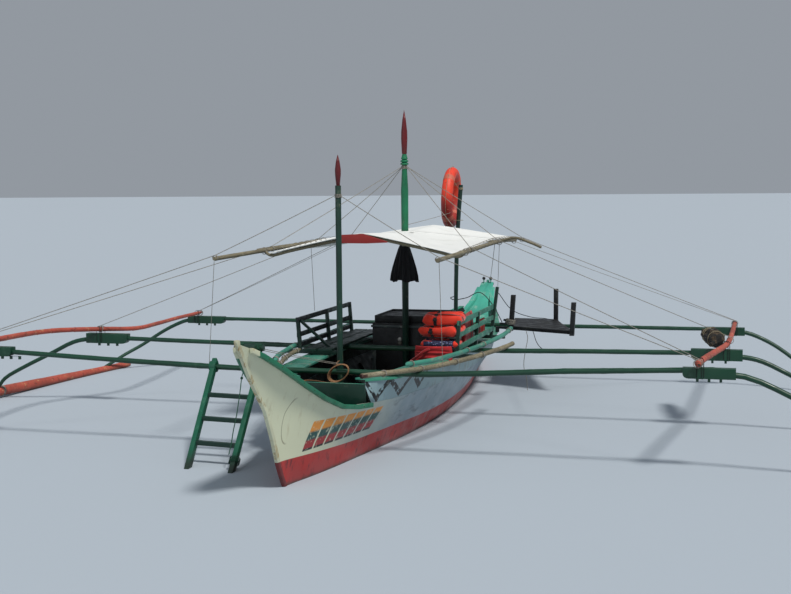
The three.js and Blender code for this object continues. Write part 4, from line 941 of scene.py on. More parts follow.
# Repeats made by geometry nodes: one shape on many points
def repeats_tree():
    tree = bpy.data.node_groups.new("repeats", "GeometryNodeTree")
    sockets = {}
    kinds = {"Geometry": "Geometry", "Shape": "Object", "Vary": "Float", "Seed": "Int", "Finish": "Material"}
    for name, kind in kinds.items():
        socket = tree.interface.new_socket(name, in_out="INPUT", socket_type="NodeSocket" + kind)
        sockets[name] = socket.identifier
    tree.interface.new_socket("Geometry", in_out="OUTPUT", socket_type="NodeSocketGeometry")
    source = tree.nodes.new("NodeGroupInput")
    result = tree.nodes.new("NodeGroupOutput")
    facing = tree.nodes.new("GeometryNodeInputNamedAttribute")
    facing.data_type = "FLOAT_VECTOR"
    facing.inputs["Name"].default_value = "facing"
    align = tree.nodes.new("FunctionNodeAlignRotationToVector")
    align.axis = "Z"
    shape = tree.nodes.new("GeometryNodeObjectInfo")
    less = tree.nodes.new("ShaderNodeMath")
    less.operation = "SUBTRACT"
    less.inputs[0].default_value = 1
    more = tree.nodes.new("ShaderNodeMath")
    more.operation = "ADD"
    more.inputs[0].default_value = 1
    size = tree.nodes.new("FunctionNodeRandomValue")
    size.data_type = "FLOAT"
    instance = tree.nodes.new("GeometryNodeInstanceOnPoints")
    realize = tree.nodes.new("GeometryNodeRealizeInstances")
    paint = tree.nodes.new("GeometryNodeSetMaterial")
    link = tree.links.new
    link(source.outputs["Shape"], shape.inputs["Object"])
    link(source.outputs["Vary"], less.inputs[1])
    link(source.outputs["Vary"], more.inputs[1])
    floats = [s for s in size.inputs if s.type == "VALUE" and s.enabled]
    link(less.outputs[0], floats[0])
    link(more.outputs[0], floats[1])
    link(source.outputs["Seed"], size.inputs["Seed"])
    link([s for s in facing.outputs if s.enabled][0], align.inputs["Vector"])
    link(source.outputs["Geometry"], instance.inputs["Points"])
    link(shape.outputs["Geometry"], instance.inputs["Instance"])
    link(align.outputs["Rotation"], instance.inputs["Rotation"])
    link([s for s in size.outputs if s.enabled][0], instance.inputs["Scale"])
    link(instance.outputs["Instances"], realize.inputs["Geometry"])
    link(realize.outputs["Geometry"], paint.inputs["Geometry"])
    link(source.outputs["Finish"], paint.inputs["Material"])
    link(paint.outputs["Geometry"], result.inputs["Geometry"])
    return tree, sockets


def repeat(name, tree, shape, places, facings, finish, body="boat", vary=0.08, seed=SEED):
    """Copies of a shape on points, each turned to face a direction, as one plain mesh"""
    group, sockets = tree
    stamp = add_mesh(name + "_shape", *shape, finish)
    points = bpy.data.meshes.new(name + "_points")
    points.from_pydata(np.asarray(places, float).tolist(), [], [])
    field = points.attributes.new("facing", "FLOAT_VECTOR", "POINT")
    field.data.foreach_set("vector", np.asarray(facings, np.float32).ravel())
    holder = bpy.data.objects.new(name + "_points", points)
    bpy.context.scene.collection.objects.link(holder)
    modifier = holder.modifiers.new("repeats", "NODES")
    modifier.node_group = group
    modifier[sockets["Shape"]] = stamp
    modifier[sockets["Vary"]] = vary
    modifier[sockets["Seed"]] = seed
    modifier[sockets["Finish"]] = finish
    bpy.context.view_layer.update()
    mesh = bpy.data.meshes.new_from_object(holder.evaluated_get(bpy.context.evaluated_depsgraph_get()))
    mesh.name = name
    holder.modifiers.remove(modifier)
    bpy.data.objects.remove(holder)
    bpy.data.objects.remove(stamp)
    made = bpy.data.objects.new(name, mesh)
    bpy.context.scene.collection.objects.link(made)
    turn_outward(mesh)
    shade(mesh, 50)
    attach(made, body)
    return made


# Cloth
def settle(made, pins, gravity=1.0, pressure=0.0, stiff=15.0, shrink=0.0):
    """Lets a mesh hang or swell for a few frames and keeps the result"""
    group = made.vertex_groups.new(name="pins")
    for index, weight in pins.items():
        group.add([index], weight, "REPLACE")
    modifier = made.modifiers.new("settle", "CLOTH")
    settings = modifier.settings
    settings.quality = 6
    settings.mass = 0.25
    settings.tension_stiffness = stiff
    settings.compression_stiffness = stiff
    settings.shear_stiffness = stiff * 0.5
    settings.bending_stiffness = 0.4
    settings.air_damping = 2
    settings.shrink_min = shrink
    settings.effector_weights.gravity = gravity
    if pins:
        settings.vertex_group_mass = "pins"
    if pressure:
        settings.use_pressure = True
        settings.uniform_pressure_force = pressure
    modifier.collision_settings.use_collision = False
    modifier.point_cache.frame_start = 1
    modifier.point_cache.frame_end = FRAMES
    for step in range(1, FRAMES + 1):
        bpy.context.scene.frame_set(step)
    settled = bpy.data.meshes.new_from_object(made.evaluated_get(bpy.context.evaluated_depsgraph_get()))
    made.modifiers.remove(modifier)
    old = made.data
    made.data = settled
    bpy.data.meshes.remove(old)
    bpy.context.scene.frame_set(1)
    made.vertex_groups.clear()


def thicken(made, thick):
    """Gives a single sheet its thickness and closes it"""
    modifier = made.modifiers.new("thick", "SOLIDIFY")
    modifier.thickness = thick
    modifier.offset = 0
    modifier.use_even_offset = True
    mesh = bpy.data.meshes.new_from_object(made.evaluated_get(bpy.context.evaluated_depsgraph_get()))
    made.modifiers.remove(modifier)
    made.data = mesh


def height_on(trees, x, y):
    """Top of the awning's cloth at a place"""
    for near_x, near_y in ((x, y), (x + 0.01, y), (x - 0.01, y), (x, y + math.copysign(0.06, y or 1))):
        for tree in trees:
            hit = tree.ray_cast(Vector((near_x, near_y, 4)), Vector((0, 0, -1)))[0]
            if hit is not None:
                return hit.z
    raise ValueError(f"no cloth at {x}, {y}")


def awning_cloth(name, look):
    """Panel of canvas stretched over the poles, sagging between them"""
    from_x, to_x = AWNING_PANELS[name]
    tree = surface(name)
    xs = np.linspace(from_x, to_x, int((to_x - from_x) / 0.04) + 1)
    ys = np.linspace(-AWNING_HALF, AWNING_HALF, 49)
    points = []
    for x in xs:
        for y in ys:
            at_x = min(max(x, from_x + 0.001), to_x - 0.001)
            at_y = min(max(y, -AWNING_HALF + 0.001), AWNING_HALF - 0.001)
            points.append((x, y, height_on([tree], at_x, at_y) + 0.001))
    wide = len(ys)
    faces = [[i * wide + k, i * wide + k + 1, (i + 1) * wide + k + 1, (i + 1) * wide + k]
             for i in range(len(xs) - 1) for k in range(wide - 1)]
    middles = [np.mean([points[i] for i in face], axis=0) for face in faces]
    faces = [face for face, at in zip(faces, middles) if math.hypot(at[0] - MAIN_MAST["x"], at[1]) > 0.042]
    made = add_mesh("show_" + name, points, faces, look, 60)
    ties = [row[0] for row in CROSS_POLES]
    pins = {}
    for i, (x, y) in enumerate(point[:2] for point in points):
        edge = abs(y) > AWNING_HALF - 0.01 or x in (xs[0], xs[-1])
        on_pole = abs(y) < 0.05 or min(abs(x - tie) for tie in ties) < 0.025
        if edge or on_pole:
            pins[i] = 1.0
    settle(made, pins, 1.0, 0, 12)
    thicken(made, SHEET_THICK)
    turn_outward(made.data)
    shade(made.data, 60)
    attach(made, "boat")
    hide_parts(name)
    return made


def add_awning(looks, tree):
    random = np.random.default_rng(SEED)
    for name in AWNING_PANELS:
        awning_cloth(name, looks["canvas"])
    trees = [surface(name) for name in AWNING_PANELS]
    poles = []
    for mirror in SIDES.values():
        points = np.array([(x, y * mirror, z, AWNING_POLE_RADIUS) for x, y, z in AWNING_POLE])
        poles.append(culm(points, random, 20, 0.42, 0.07))
    for x, port, starboard in CROSS_POLES:
        under = [(y, height_on(trees, x, y) - 0.006 - CROSS_DROP) for y in (0, 0.25, 0.5, 0.75, 0.935)]
        line = [(-y, z) for y, z in (under[1:] + starboard)[::-1]] + under + port
        poles.append(culm(np.array([(x, y, z, CROSS_RADIUS) for y, z in line]), random, 16, 0.3, 0.08))
    ridge = [(x, RIDGE_Y, height_on(trees, x, RIDGE_Y) - 0.026, 0.016)
             for x in (1.54, 0.65, -0.26, -0.8, -1.36)]
    poles.append(culm(np.array(ridge), random, 16, 0.34, 0.08))
    add_piece("awning_poles", poles, looks["bamboo"], replaces=["awning_frame"])
    add_lacing(looks, trees, tree)
    patch = [(0.036, 0.006), (0.04, 0.009), (0.05, 0.004), (0.1, 0.001), (0.1, -0.004), (0.042, -0.002)]
    at = (MAIN_MAST["x"], 0, height_on(trees, MAIN_MAST["x"], 0.0) + 0.004)
    add_piece("mast_patch", [lathe(patch, at)], looks["canvas"])
    points = np.array([(x, y, z) for x in FASCIA_X for y, z in FASCIA])
    count = len(FASCIA)
    faces = [list(range(count)), list(range(count, 2 * count))[::-1]]
    faces += [[k, k + count, (k + 1) % count + count, (k + 1) % count] for k in range(count)]
    add_piece("fascia_board", [(points, faces)], looks["red"], replaces=["awning_fascia"],
              bevel=0.003)


def over_panel(x):
    """Nearest place along the awning with cloth below it"""
    rear_end = AWNING_PANELS["awning_rear"][1] - PANEL_HEM
    front_end = AWNING_PANELS["awning_front"][0] + PANEL_HEM
    if rear_end < x < front_end:
        return rear_end if x < (rear_end + front_end) / 2 else front_end
    return x


def add_lacing(looks, trees, tree):
    """Hem ropes, eyelets and the cord laced round the side poles"""
    hems, laces, eyelets = [], [], []
    for mirror in SIDES.values():
        pole = smooth_path([(x, y * mirror, z) for x, y, z in AWNING_POLE], 0.02)
        xs = np.linspace(1.53, -1.35, 700)
        edge = np.array([height_on(trees, over_panel(x), mirror * 0.93) for x in xs])
        pole_y = np.interp(-xs, -pole[:, 0], np.abs(pole[:, 1]))
        pole_z = np.interp(-xs, -pole[:, 0], pole[:, 2])
        inner, outer = 0.922, pole_y + 0.025
        angles = 2 * math.pi * (1.53 - xs) / 0.165
        y = (inner + outer) / 2 - (outer - inner) / 2 * np.cos(angles)
        level = edge + (pole_z - edge) * (y - inner) / (outer - inner)
        z = level + 0.026 * np.sin(angles)
        laces.append(rope(np.column_stack([xs, mirror * y, z]), CORD * 0.8))
        for x in 1.53 - 0.165 * np.arange(18):
            x = over_panel(x)
            eyelets.append((x, mirror * 0.922, height_on(trees, x, mirror * 0.93) + 0.0025))
        for from_x, to_x in AWNING_PANELS.values():
            line = [(x, mirror * 0.936, height_on(trees, x, mirror * 0.936) + 0.003)
                    for x in np.linspace(from_x + 0.004, to_x - 0.004, 40)]
            hems.append(tube(line, np.full(len(line), 0.0045), 10))
    for x in (1.546, -1.366, -0.204, -0.296):
        line = [(x, y, height_on(trees, x, y) + 0.003) for y in np.linspace(-0.93, 0.93, 60)]
        hems.append(tube(line, np.full(len(line), 0.0045), 10))
    add_piece("awning_hems", hems, looks["canvas"])
    add_piece("awning_lacing", laces, looks["stay"])
    ring = sweep(loop((0, 0, 0), (1, 0, 0), (0, 1, 0), 0.0085, 0.0085, 2, 16)[:-1], circle(8, 0.0022), True)
    facings = [(0, 0, 1)] * len(eyelets)
    repeat("awning_eyelets", tree, ring, eyelets, facings, looks["steel"], vary=0.02)


def add_mast_cloth(looks):
    """Dark cloth gathered round the main mast"""
    rows = np.array(MAST_CLOTH)
    high, low = rows[0, 0], rows[-1, 0]
    heights = np.linspace(high, low, 34)
    deep = np.interp(-heights, -rows[:, 0], rows[:, 1])
    wide = np.interp(-heights, -rows[:, 0], rows[:, 2])
    sides = 120
    points = []
    for z, a, b in zip(heights, deep, wide):
        down = (high - z) / (high - low)
        for k in range(sides):
            angle = 2 * math.pi * k / sides
            pleat = 1 + 0.13 * (0.15 + down) * math.sin(13 * angle + 1.5 * math.sin(2 * angle) + down)
            x, y = MAIN_MAST["x"] + a * pleat * math.cos(angle), b * pleat * math.sin(angle) - 0.008
            points.append((x, y, z - 0.012 * math.sin(5 * angle) * down))
    faces = grid_faces(len(heights), sides, False)[:-2]
    made = add_mesh("show_mast_cloth", points, faces, looks["black_cloth"], 60)
    pins = {i: 1.0 for i in range(sides * 3)}
    for i in range(sides * 3, len(points)):
        pins[i] = 0.35
    settle(made, pins, 0.8, 0, 12)
    thicken(made, SHEET_THICK)
    turn_outward(made.data)
    shade(made.data, 60)
    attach(made, "boat")
    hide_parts("mast_cloth")
    tie = rope(helix((MAIN_MAST["x"], 0, 1.762), (0, 0, 1), 0.048, 0.02, 4), CORD)
    add_piece("mast_cloth_ties", [tie], looks["stay"])


def pillow(name, centre, size, turn, look, seed, seams=(0.0,)):
    """Stuffed slab with sewn seams across it, swollen by a cloth simulation"""
    columns, rows = 31, 17
    grid = []
    for layer in (1, -1):
        for i in range(columns):
            for k in range(rows):
                u, v = 2 * i / (columns - 1) - 1, 2 * k / (rows - 1) - 1
                full = math.sqrt(max(0, (1 - abs(u) ** 5) * (1 - abs(v) ** 4)))
                for seam in seams:
                    full *= 1 - 0.72 * math.exp(-((u - seam) / 0.06) ** 2)
                bulge = 1 + 0.12 * noise.noise(Vector((u * 1.7 + seed, v * 1.7, layer)))
                grid.append((u * size[0] / 2, v * size[1] / 2, layer * full * bulge * size[2] / 2))
    turned = [Vector(centre) + turn @ Vector(p) for p in grid]
    count = columns * rows
    faces = []
    for layer in (0, 1):
        for i in range(columns - 1):
            for k in range(rows - 1):
                a = layer * count + i * rows + k
                face = [a, a + rows, a + rows + 1, a + 1]
                faces.append(face if layer == 0 else face[::-1])
    mesh = bpy.data.meshes.new(name)
    mesh.from_pydata([p[:] for p in turned], [], faces)
    shell = bmesh.new()
    shell.from_mesh(mesh)
    bmesh.ops.remove_doubles(shell, verts=shell.verts, dist=1e-4)
    bmesh.ops.recalc_face_normals(shell, faces=shell.faces)
    shell.to_mesh(mesh)
    shell.free()
    mesh.materials.append(look)
    made = bpy.data.objects.new(name, mesh)
    bpy.context.scene.collection.objects.link(made)
    shade(mesh, 60)
    back = turn.inverted()
    pins = {}
    for i, vertex in enumerate(mesh.vertices):
        u = (back @ (vertex.co - Vector(centre))).x / (size[0] / 2)
        if any(abs(u - seam) < 0.04 for seam in seams):
            pins[i] = 1.0
    settle(made, pins, 0.0, 2.2, 14, 0.04)
    subdivision = made.modifiers.new("smooth", "SUBSURF")
    subdivision.levels = 1
    finer = bpy.data.meshes.new_from_object(made.evaluated_get(bpy.context.evaluated_depsgraph_get()))
    made.modifiers.remove(subdivision)
    made.data = finer
    turn_outward(finer)
    shade(finer, 60)
    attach(made, "boat")
    return made


def band_round(target, centre, normal, width, thick, steps=56, reach=0.6):
    """Flat strap that hugs a piece along a cut through it"""
    mesh = target.data
    tree = BVHTree.FromPolygons([v.co[:] for v in mesh.vertices], [p.vertices[:] for p in mesh.polygons])
    normal = Vector(normal).normalized()
    side = normal.orthogonal().normalized()
    other = normal.cross(side)
    rings = []
    for k in range(steps):
        angle = 2 * math.pi * k / steps
        out = side * math.cos(angle) + other * math.sin(angle)
        corners = []
        for shift in (-width / 2, width / 2):
            start = Vector(centre) + normal * shift
            hit = tree.ray_cast(start + out * reach, -out)[0]
            base = (hit - start).length if hit is not None else 0.03
            corners.append((start, base))
        (a, base_a), (b, base_b) = corners
        inner, outer = out * (max(base_a, base_b) + 0.0012), out * (max(base_a, base_b) + thick)
        rings += [a + inner, b + inner, b + outer, a + outer]
    return np.array([p[:] for p in rings]), grid_faces(steps, 4, True)


# Vests: name, middle, size, turn and finish
UPRIGHT_ACROSS = Matrix.Rotation(math.pi / 2, 3, "Y")
UPRIGHT_ALONG = Matrix.Rotation(math.pi / 2, 3, "X")
VESTS = [
    ("vest_low", (1.112, 0.6, 0.735), (0.2, 0.4, 0.055), UPRIGHT_ACROSS, "crimson"),
    ("vest_second", (0.925, 0.64, 0.838), (0.32, 0.41, 0.135), Matrix.Rotation(0.05, 3, "Z"), "orange"),
    ("vest_third", (0.9, 0.637, 0.958), (0.35, 0.43, 0.17), Matrix.Rotation(-0.1, 3, "Z"), "orange"),
    ("vest_top", (0.86, 0.655, 1.078), (0.37, 0.43, 0.175), Matrix.Rotation(0.08, 3, "Z"), "orange"),
    ("vest_back", (0.38, 0.775, 0.925), (0.56, 0.33, 0.065),
     Matrix.Rotation(0.05, 3, "Y") @ UPRIGHT_ALONG, "crimson"),
    ("vest_far", (-0.25, 0.785, 0.86), (0.5, 0.2, 0.06), UPRIGHT_ALONG, "orange"),
]


def add_vests(looks):
    """Pile of swimming vests at the bench's fore end, two more along its back and one loose strap"""
    made = {}
    for i, (name, centre, size, turn, look) in enumerate(VESTS):
        piece = pillow(name, centre, size, turn, looks[look], i, (-0.36, 0.36))
        made[name] = (piece, centre, turn)
    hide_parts("vest_pile")
    straps, buckles = [], []
    crossings = {
        "vest_third": (0.11,),
        "vest_top": (-0.1, 0.1),
        "vest_back": (-0.14, 0.12),
        "vest_far": (0.1,),
    }
    for name, places in crossings.items():
        piece, centre, turn = made[name]
        for place in places:
            at = Vector(centre) + turn @ Vector((place, 0, 0))
            straps.append(band_round(piece, at, turn @ Vector((1, 0, 0)), 0.036, 0.0036))
    for name, y in (("vest_third", 0.56), ("vest_top", 0.6)):
        piece, (x, z) = made[name][0], made[name][1][::2]
        straps.append(band_round(piece, (x, y, z), (0, 1, 0), 0.032, 0.0036))
        buckles.append(block((x + 0.15, y - 0.02, z - 0.014), (x + 0.196, y + 0.02, z + 0.014)))
    piece, (x, z) = made["vest_second"][0], made["vest_second"][1][::2]
    printed = band_round(piece, (x, 0.64, z + 0.012), (0, 1, 0), 0.3, 0.004)
    add_piece("vest_straps", straps, looks["black_cloth"])
    add_piece("vest_prints", [printed], looks["print"])
    add_piece("vest_buckles", buckles, looks["knob"], bevel=0.003)
    line = [(1.09, 0.575, 0.8), (1.155, 0.53, 0.79), (1.16, 0.46, 0.735), (1.13, 0.35, 0.655)]
    path = smooth_path(line, 0.006)
    strand = sweep(path, strand_outline() * 0.014)
    strap = add_piece("vest_strap_loose", [strand], looks["crimson"])


def add_net(looks):
    """Net rolled on the port spar with its lashings"""
    rows = spine("net_roll", 0, 16)
    rows[:, 3] *= 1.36
    rows = np.vstack([rows[0] + (rows[0] - rows[1]) * 2, rows, rows[-1] + (rows[-1] - rows[-2]) * 3])
    rows[0, 3], rows[-1, 3] = rows[1, 3] * 0.8, rows[-2, 3] * 0.8
    path, radii, places = along_spine(rows, 0.008)
    waist = np.ones(len(places))
    ties = [0.14, 0.37, 0.5, 0.83]
    for at in ties:
        waist -= 0.09 * np.exp(-((places - at) / 0.04) ** 2)
    sides = 48
    angles = np.linspace(0, 2 * math.pi, sides, endpoint=False)
    points, faces = sweep(path, circle(sides), scale=rounded_ends(radii * waist, places, 0.03))
    grid = points.reshape(len(path), sides, 3)
    round_it, along = angles[None], places[:, None]
    folds = 1 + 0.07 * np.sin(7 * round_it + 4 * along) + 0.05 * np.sin(4 * round_it - 9 * along)
    grid = path[:, None] + (grid - path[:, None]) * (folds[..., None] * 0.95)
    bundle = add_piece("net_bundle", [(grid.reshape(-1, 3), faces)], looks["net"],
                       replaces=["net_roll"])
    cords = []
    for at in ties:
        i = int(np.argmin(np.abs(places - at)))
        axis = path[min(i + 2, len(path) - 1)] - path[max(i - 2, 0)]
        cords.append(rope(helix(path[i], axis, radii[i] * 0.95, 0.022, 3), CORD))
    add_piece("net_lashings", cords, looks["rope"])


# Hull and its fittings
def hull_side(centre, normal):
    """Zero for the outer skin and the rim, one for the inside, two for the inside and rim at the stern"""
    stern = centre.x < -3.8 and centre.z > 0.5
    if normal.z > 0.8 and centre.z > 0.4:
        return 2 if stern else 0
    inner = normal.y * centre.y < 0 if abs(normal.y) > 0.15 else normal.z > 0
    if inner:
        return 2 if stern else 1
    return 0


def wash_side(centre, normal):
    """Zero for the plank's outer face, one for the cap, two for the inner face"""
    over = centre.z > 0.636 and (abs(normal.z) > 0.5 or abs(centre.y) > 0.1)
    if normal.z > 0.6 or (over and centre.z > cap_line(centre.x) - 0.016):
        return 1
    return 0 if normal.y * centre.y > 0 else 2


def cap_line(x):
    """Height of the washboard cap's top"""
    places = [-3.9, -3.6, -3.0, -2.2, -1.0, 0, 1.0, 1.8, 2.2, 2.5, 2.72]
    heights = [0.742, 0.708, 0.672, 0.65, 0.663, 0.677, 0.692, 0.708, 0.716, 0.722, 0.726]
    return float(np.interp(x, places, heights))


def inner_half(tree, x, z):
    hit = tree.ray_cast(Vector((x, 0, z)), Vector((0, 1, 0)))[0]
    return hit.y if hit is not None else None


def add_ribs(looks):
    """Frames up the inside of the hull"""
    tree = surface("hull_shell")
    bars = []
    for x in np.arange(-3.0, 3.7, 0.42):
        levels = np.linspace(0.05, 0.4, 8)
        halves = [inner_half(tree, x, z) for z in levels]
        if any(y is None or y < 0.12 for y in halves):
            continue
        for mirror in SIDES.values():
            rings = []
            for y, z in zip(halves, levels):
                outer, inner = mirror * (y - 0.002), mirror * (y - 0.03)
                rings += [(x - 0.016, outer, z), (x + 0.016, outer, z),
                          (x + 0.016, inner, z), (x - 0.016, inner, z)]
            bars.append((np.array(rings), grid_faces(len(levels), 4, False)))
    add_piece("hull_ribs", bars, looks["inside"], bevel=0.003)


def add_hull(looks):
    stern_cut = [((-3.8, 0, 0), (1, 0, 0))]
    dress("hull_shell", [looks["hull"], looks["inside"], looks["stern"]], 0, hull_side, 32,
          cuts=stern_cut)
    dress("keel", [looks["keel"]], 0.004)
    dress("stem_post", [looks["stem"], looks["keel"]], 0.006,
          lambda c, n: 1 if c.z < STEM_BAND else 0, cuts=[((0, 0, STEM_BAND), (0, 0, 1))])
    dress("stern_post", [looks["teal"]], 0.003)
    dress("coaming_board", [looks["dark"], looks["cap"]], 0.003,
          lambda c, n: 1 if n.z > 0.6 else 0)
    dress("floorboards", [looks["wood"]], 0.002)
    dress("bow_deck", [looks["rail"]], 0.003)
    dress("stern_deck", [looks["stern"]], 0.003)
    add_piece("stern_slope", [stern_slope()], looks["stern"], bevel=0.002)
    dress("bow_bitt", [looks["dark"]], 0.004, reshape=raised_bitt)
    for side in SIDES:
        dress(f"bow_rail_{side}", [looks["rail"], looks["stem"]], 0.005,
              lambda c, n, fore=RAIL_FORE[side]: 1 if c.x > fore else 0,
              cuts=[((RAIL_FORE[side], 0, 0), (1, 0, 0))])
        dress(f"stern_rail_{side}", [looks["stern"]], 0.005)
        dress(f"washboard_{side}", [looks["wash"], looks["cap"], looks["inside"]], 0.003,
              wash_side)
        dress(f"side_deck_{side}", [looks["teal"]], 0.003)
        rail = looks["bench"] if side == "port" else looks["slate"]
        dress(f"bench_{side}", [looks["dark"], rail], 0.003, bench_side)
    add_ribs(looks)


def stern_slope():
    """Board that closes the stern between its rails, up to the stern post"""
    rail = spine("stern_rail_port", 0, 12)
    xs = np.linspace(-4.255, -4.53, 8)
    rings = []
    for x in xs:
        z = float(np.interp(x, rail[:, 0], rail[:, 2])) + max(0, -4.467 - x) * 0.53 - 0.022
        half = float(np.interp(x, rail[:, 0], rail[:, 1])) - 0.01
        rings += [(x, -half, z), (x, half, z), (x, half, z - 0.016), (x, -half, z - 0.016)]
    return np.array(rings), grid_faces(len(xs), 4, False)


def raised_bitt(x, y, z):
    """Place of a point of the bitt, with its bar a little higher and farther to starboard"""
    share = min(1, max(0, (z - BITT_SHIFT["from"]) / 0.02))
    return Vector((x, y + BITT_SHIFT["y"], z + BITT_SHIFT["z"] * share))


def bench_side(centre, normal):
    """One for the rails of a bench's back, zero for its seat and its upright posts"""
    on_post = min(abs(centre.x - x) for x in (1.04, 0.12, -0.7)) < 0.021 and centre.z < 1.03
    return 1 if centre.z > 0.778 and abs(centre.y) > 0.822 and normal.z > -0.5 and not on_post else 0


def add_poles(looks):
    """Beams, arms, floats, spars and side poles as natural stems"""
    random = np.random.default_rng(SEED)
    for name in ("front", "middle", "rear"):
        rows = spine(f"{name}_beam", 1, 60)
        rows[:, 2] += BEAM_RISE[name] * np.clip((rows[:, 1] - 0.9) / 1.2, 0, 1)
        add_piece(f"{name}_beam_pole", [timber(rows, random)], looks["beam"],
                  replaces=[f"{name}_beam"])
        for side in SIDES:
            dress(f"arm_{name}_{side}", [looks["beam"]], 0.004, None, 46, 60,
                  reshape=lambda x, y, z, cut=SHORTER.get((name, side), AS_PLAIN): shorter(x, y, z, *cut))
    for side in SIDES:
        rows = raised_end(spine(f"float_{side}", 0, 60), SIDES[side])
        add_piece(f"float_{side}_stem", [culm(rows, random, 26, 0.5, 0.05)], looks["brick"],
                  replaces=[f"float_{side}"], ends=looks["end"])
        rows = spine(f"spar_{side}", 0, 60)
        add_piece(f"spar_{side}_stem", [culm(rows, random, 20, 0.34, 0.09)], looks["brick"],
                  replaces=[f"spar_{side}"], ends=looks["end"])
        rows = spine("bamboo_starboard", 0, 40)
        rows[:, 3] *= SLIMMER
        if side == "port":
            rows = np.array([(*point, BAMBOO_RADIUS) for point in BAMBOO])
        add_piece(f"bamboo_{side}_stem", [culm(rows, random, 20, 0.3, 0.1)], looks["bamboo"],
                  replaces=[f"bamboo_{side}"], ends=looks["end"])
        rows = spine(f"side_pole_{side}", 0, 60)
        rows[:, 3] *= SLIMMER
        add_piece(f"side_pole_{side}_stem", [timber(rows, random, 20, 0.12)], looks["teal"],
                  replaces=[f"side_pole_{side}"])


def shorter(x, y, z, limit, shift):
    """Place of a point of an arm whose block ends farther out than in plain"""
    return Vector((x, y + math.copysign(shift, y) if abs(y) < limit else y, z))


def raised_end(rows, mirror):
    """Rows of a float whose aft end is thicker and rides higher"""
    rows = rows.copy()
    share = np.clip((-1.0 - rows[:, 0]) / 1.2, 0, 1)
    rows[:, 1] -= mirror * 0.06 * share
    rows[:, 2] += 0.02 * share
    rows[:, 3] = np.maximum(rows[:, 3], 0.042 + 0.008 * share)
    return rows


def stouter(x, y, z):
    """Place of a point of the main mast, a little thicker towards its neck"""
    share = float(np.interp(z, [0, 1, 2.5, 2.58, 2.62, 2.68, 2.7, 2.74, 2.95, 3.2],
                            [1.05, 1.08, 1.42, 1.65, 1.6, 1.5, 1.15, 1.5, 1.15, 1]))
    return Vector((MAIN_MAST["x"] + (x - MAIN_MAST["x"]) * share, y * share, z))


def add_masts(looks):
    for name, data, reshape in (("foremast", FOREMAST, None), ("main_mast", MAIN_MAST, stouter)):
        above = data["spike"] - 0.005
        dress(name, [looks["mast"], looks["spike"]], 0.0015,
              lambda c, n, above=above: 1 if c.z > above else 0, 50, 50, reshape=reshape)
    path = smooth_path(AFT_POLE_LINE, 0.03)
    add_piece("aft_pole_stem", [tube(path, np.full(len(path), 0.027), 20, 0.06, 7, 5)], looks["dark"],
              replaces=["aft_pole"])


def add_lifebuoy(looks):
    """Ring with faded bands and a grab line, tied to its pole"""
    centre = np.array(BUOY["centre"])
    heading = np.array([math.cos(BUOY["heading"]), math.sin(BUOY["heading"]), 0])
    up = np.array([0, math.sin(BUOY["lean"]), math.cos(BUOY["lean"])])

    def on_ring(angle, radius):
        return centre + (heading * math.cos(angle) + up * math.sin(angle)) * radius

    round_path = [on_ring(angle, BUOY["ring"]) for angle in np.linspace(0, 2 * math.pi, 96, endpoint=False)]
    shell = sweep(round_path, circle(32, BUOY["tube"]), True)
    add_piece("lifebuoy_ring", [shell], looks["buoy"], replaces=["lifebuoy"])
    bands, line = [], []
    for k in range(4):
        angle = math.pi / 4 + k * math.pi / 2
        spots = [on_ring(angle + step, BUOY["ring"]) for step in np.linspace(-0.1, 0.1, 9)]
        bands.append(sweep(spots, circle(28, BUOY["tube"] + 0.002)))
    for t in np.linspace(0, 2 * math.pi, 160, endpoint=False):
        away = 0.5 - 0.5 * math.cos(4 * (t - math.pi / 4))
        line.append(on_ring(t, BUOY["ring"] + BUOY["tube"] + 0.004 + 0.008 * away))
    line.append(line[0])
    add_piece("buoy_bands", bands, looks["faded"])
    add_piece("buoy_line", [rope(line, CORD, True)], looks["rope"])
    x, y, z = AFT_POLE_LINE[-1]
    ties = [helix((x, y - 0.002, z - 0.05), (0, 0, 1), 0.031, 0.03, 4),
            sagging((x, y - 0.031, z - 0.04), (x, centre[1] + 0.02, 2.505), 0),
            loop((-2.562, -0.027, 1.962), (0, 1, 0), (1, 0, 0), 0.115, 0.078, 2.4)]
    add_piece("buoy_ties", [rope(path, CORD) for path in ties], looks["rope"])


# Ropes, ladder, platform and fittings
def run_points(mast, band_z, run, mirror):
    """Points of a rope from the band on its mast over the awning's pole to the spar"""
    away = math.copysign(0.02, run[0][0] - mast["x"])
    start = (mast["x"] + away, mirror * (mast["radius"] + 0.004), band_z)
    return [start] + [(x, mirror * y, z) for x, y, z in run]


def add_stays(looks):
    for name, mast, band_z, sides in (("fore_stays", FOREMAST, FORE_BAND_Z, FORE_RUNS),
                                      ("main_stays", MAIN_MAST, MAIN_BAND_Z, MAIN_RUNS)):
        shapes = [rope(helix((mast["x"], 0, band_z), (0, 0, 1), mast["radius"] + 0.0035, 0.034, 5), CORD)]
        knots = []
        for side, runs in sides.items():
            for run in runs:
                points = run_points(mast, band_z, run, SIDES[side])
                for a, b in zip(points, points[1:]):
                    shapes.append(rope(sagging(a, b, 0.004), ROPE * 0.9))
                for at, radius, axis in ((points[1], 0.0245, (1, 0, -0.01)), (points[2], 0.034, (1, 0, 0))):
                    knots.append((at, radius, axis))
        for at, radius, axis in knots:
            centre = np.array(at) - np.array([0, 0, radius])
            shapes.append(rope(helix(centre, axis, radius, 0.022, 3), CORD))
        add_piece(name + "_rope", shapes, looks["stay"], replaces=[name])
    lines = [rope(sagging(a, b, 0.006), CORD) for a, b in LIGHT_LINES]
    add_piece("light_lines", lines, looks["stay"])


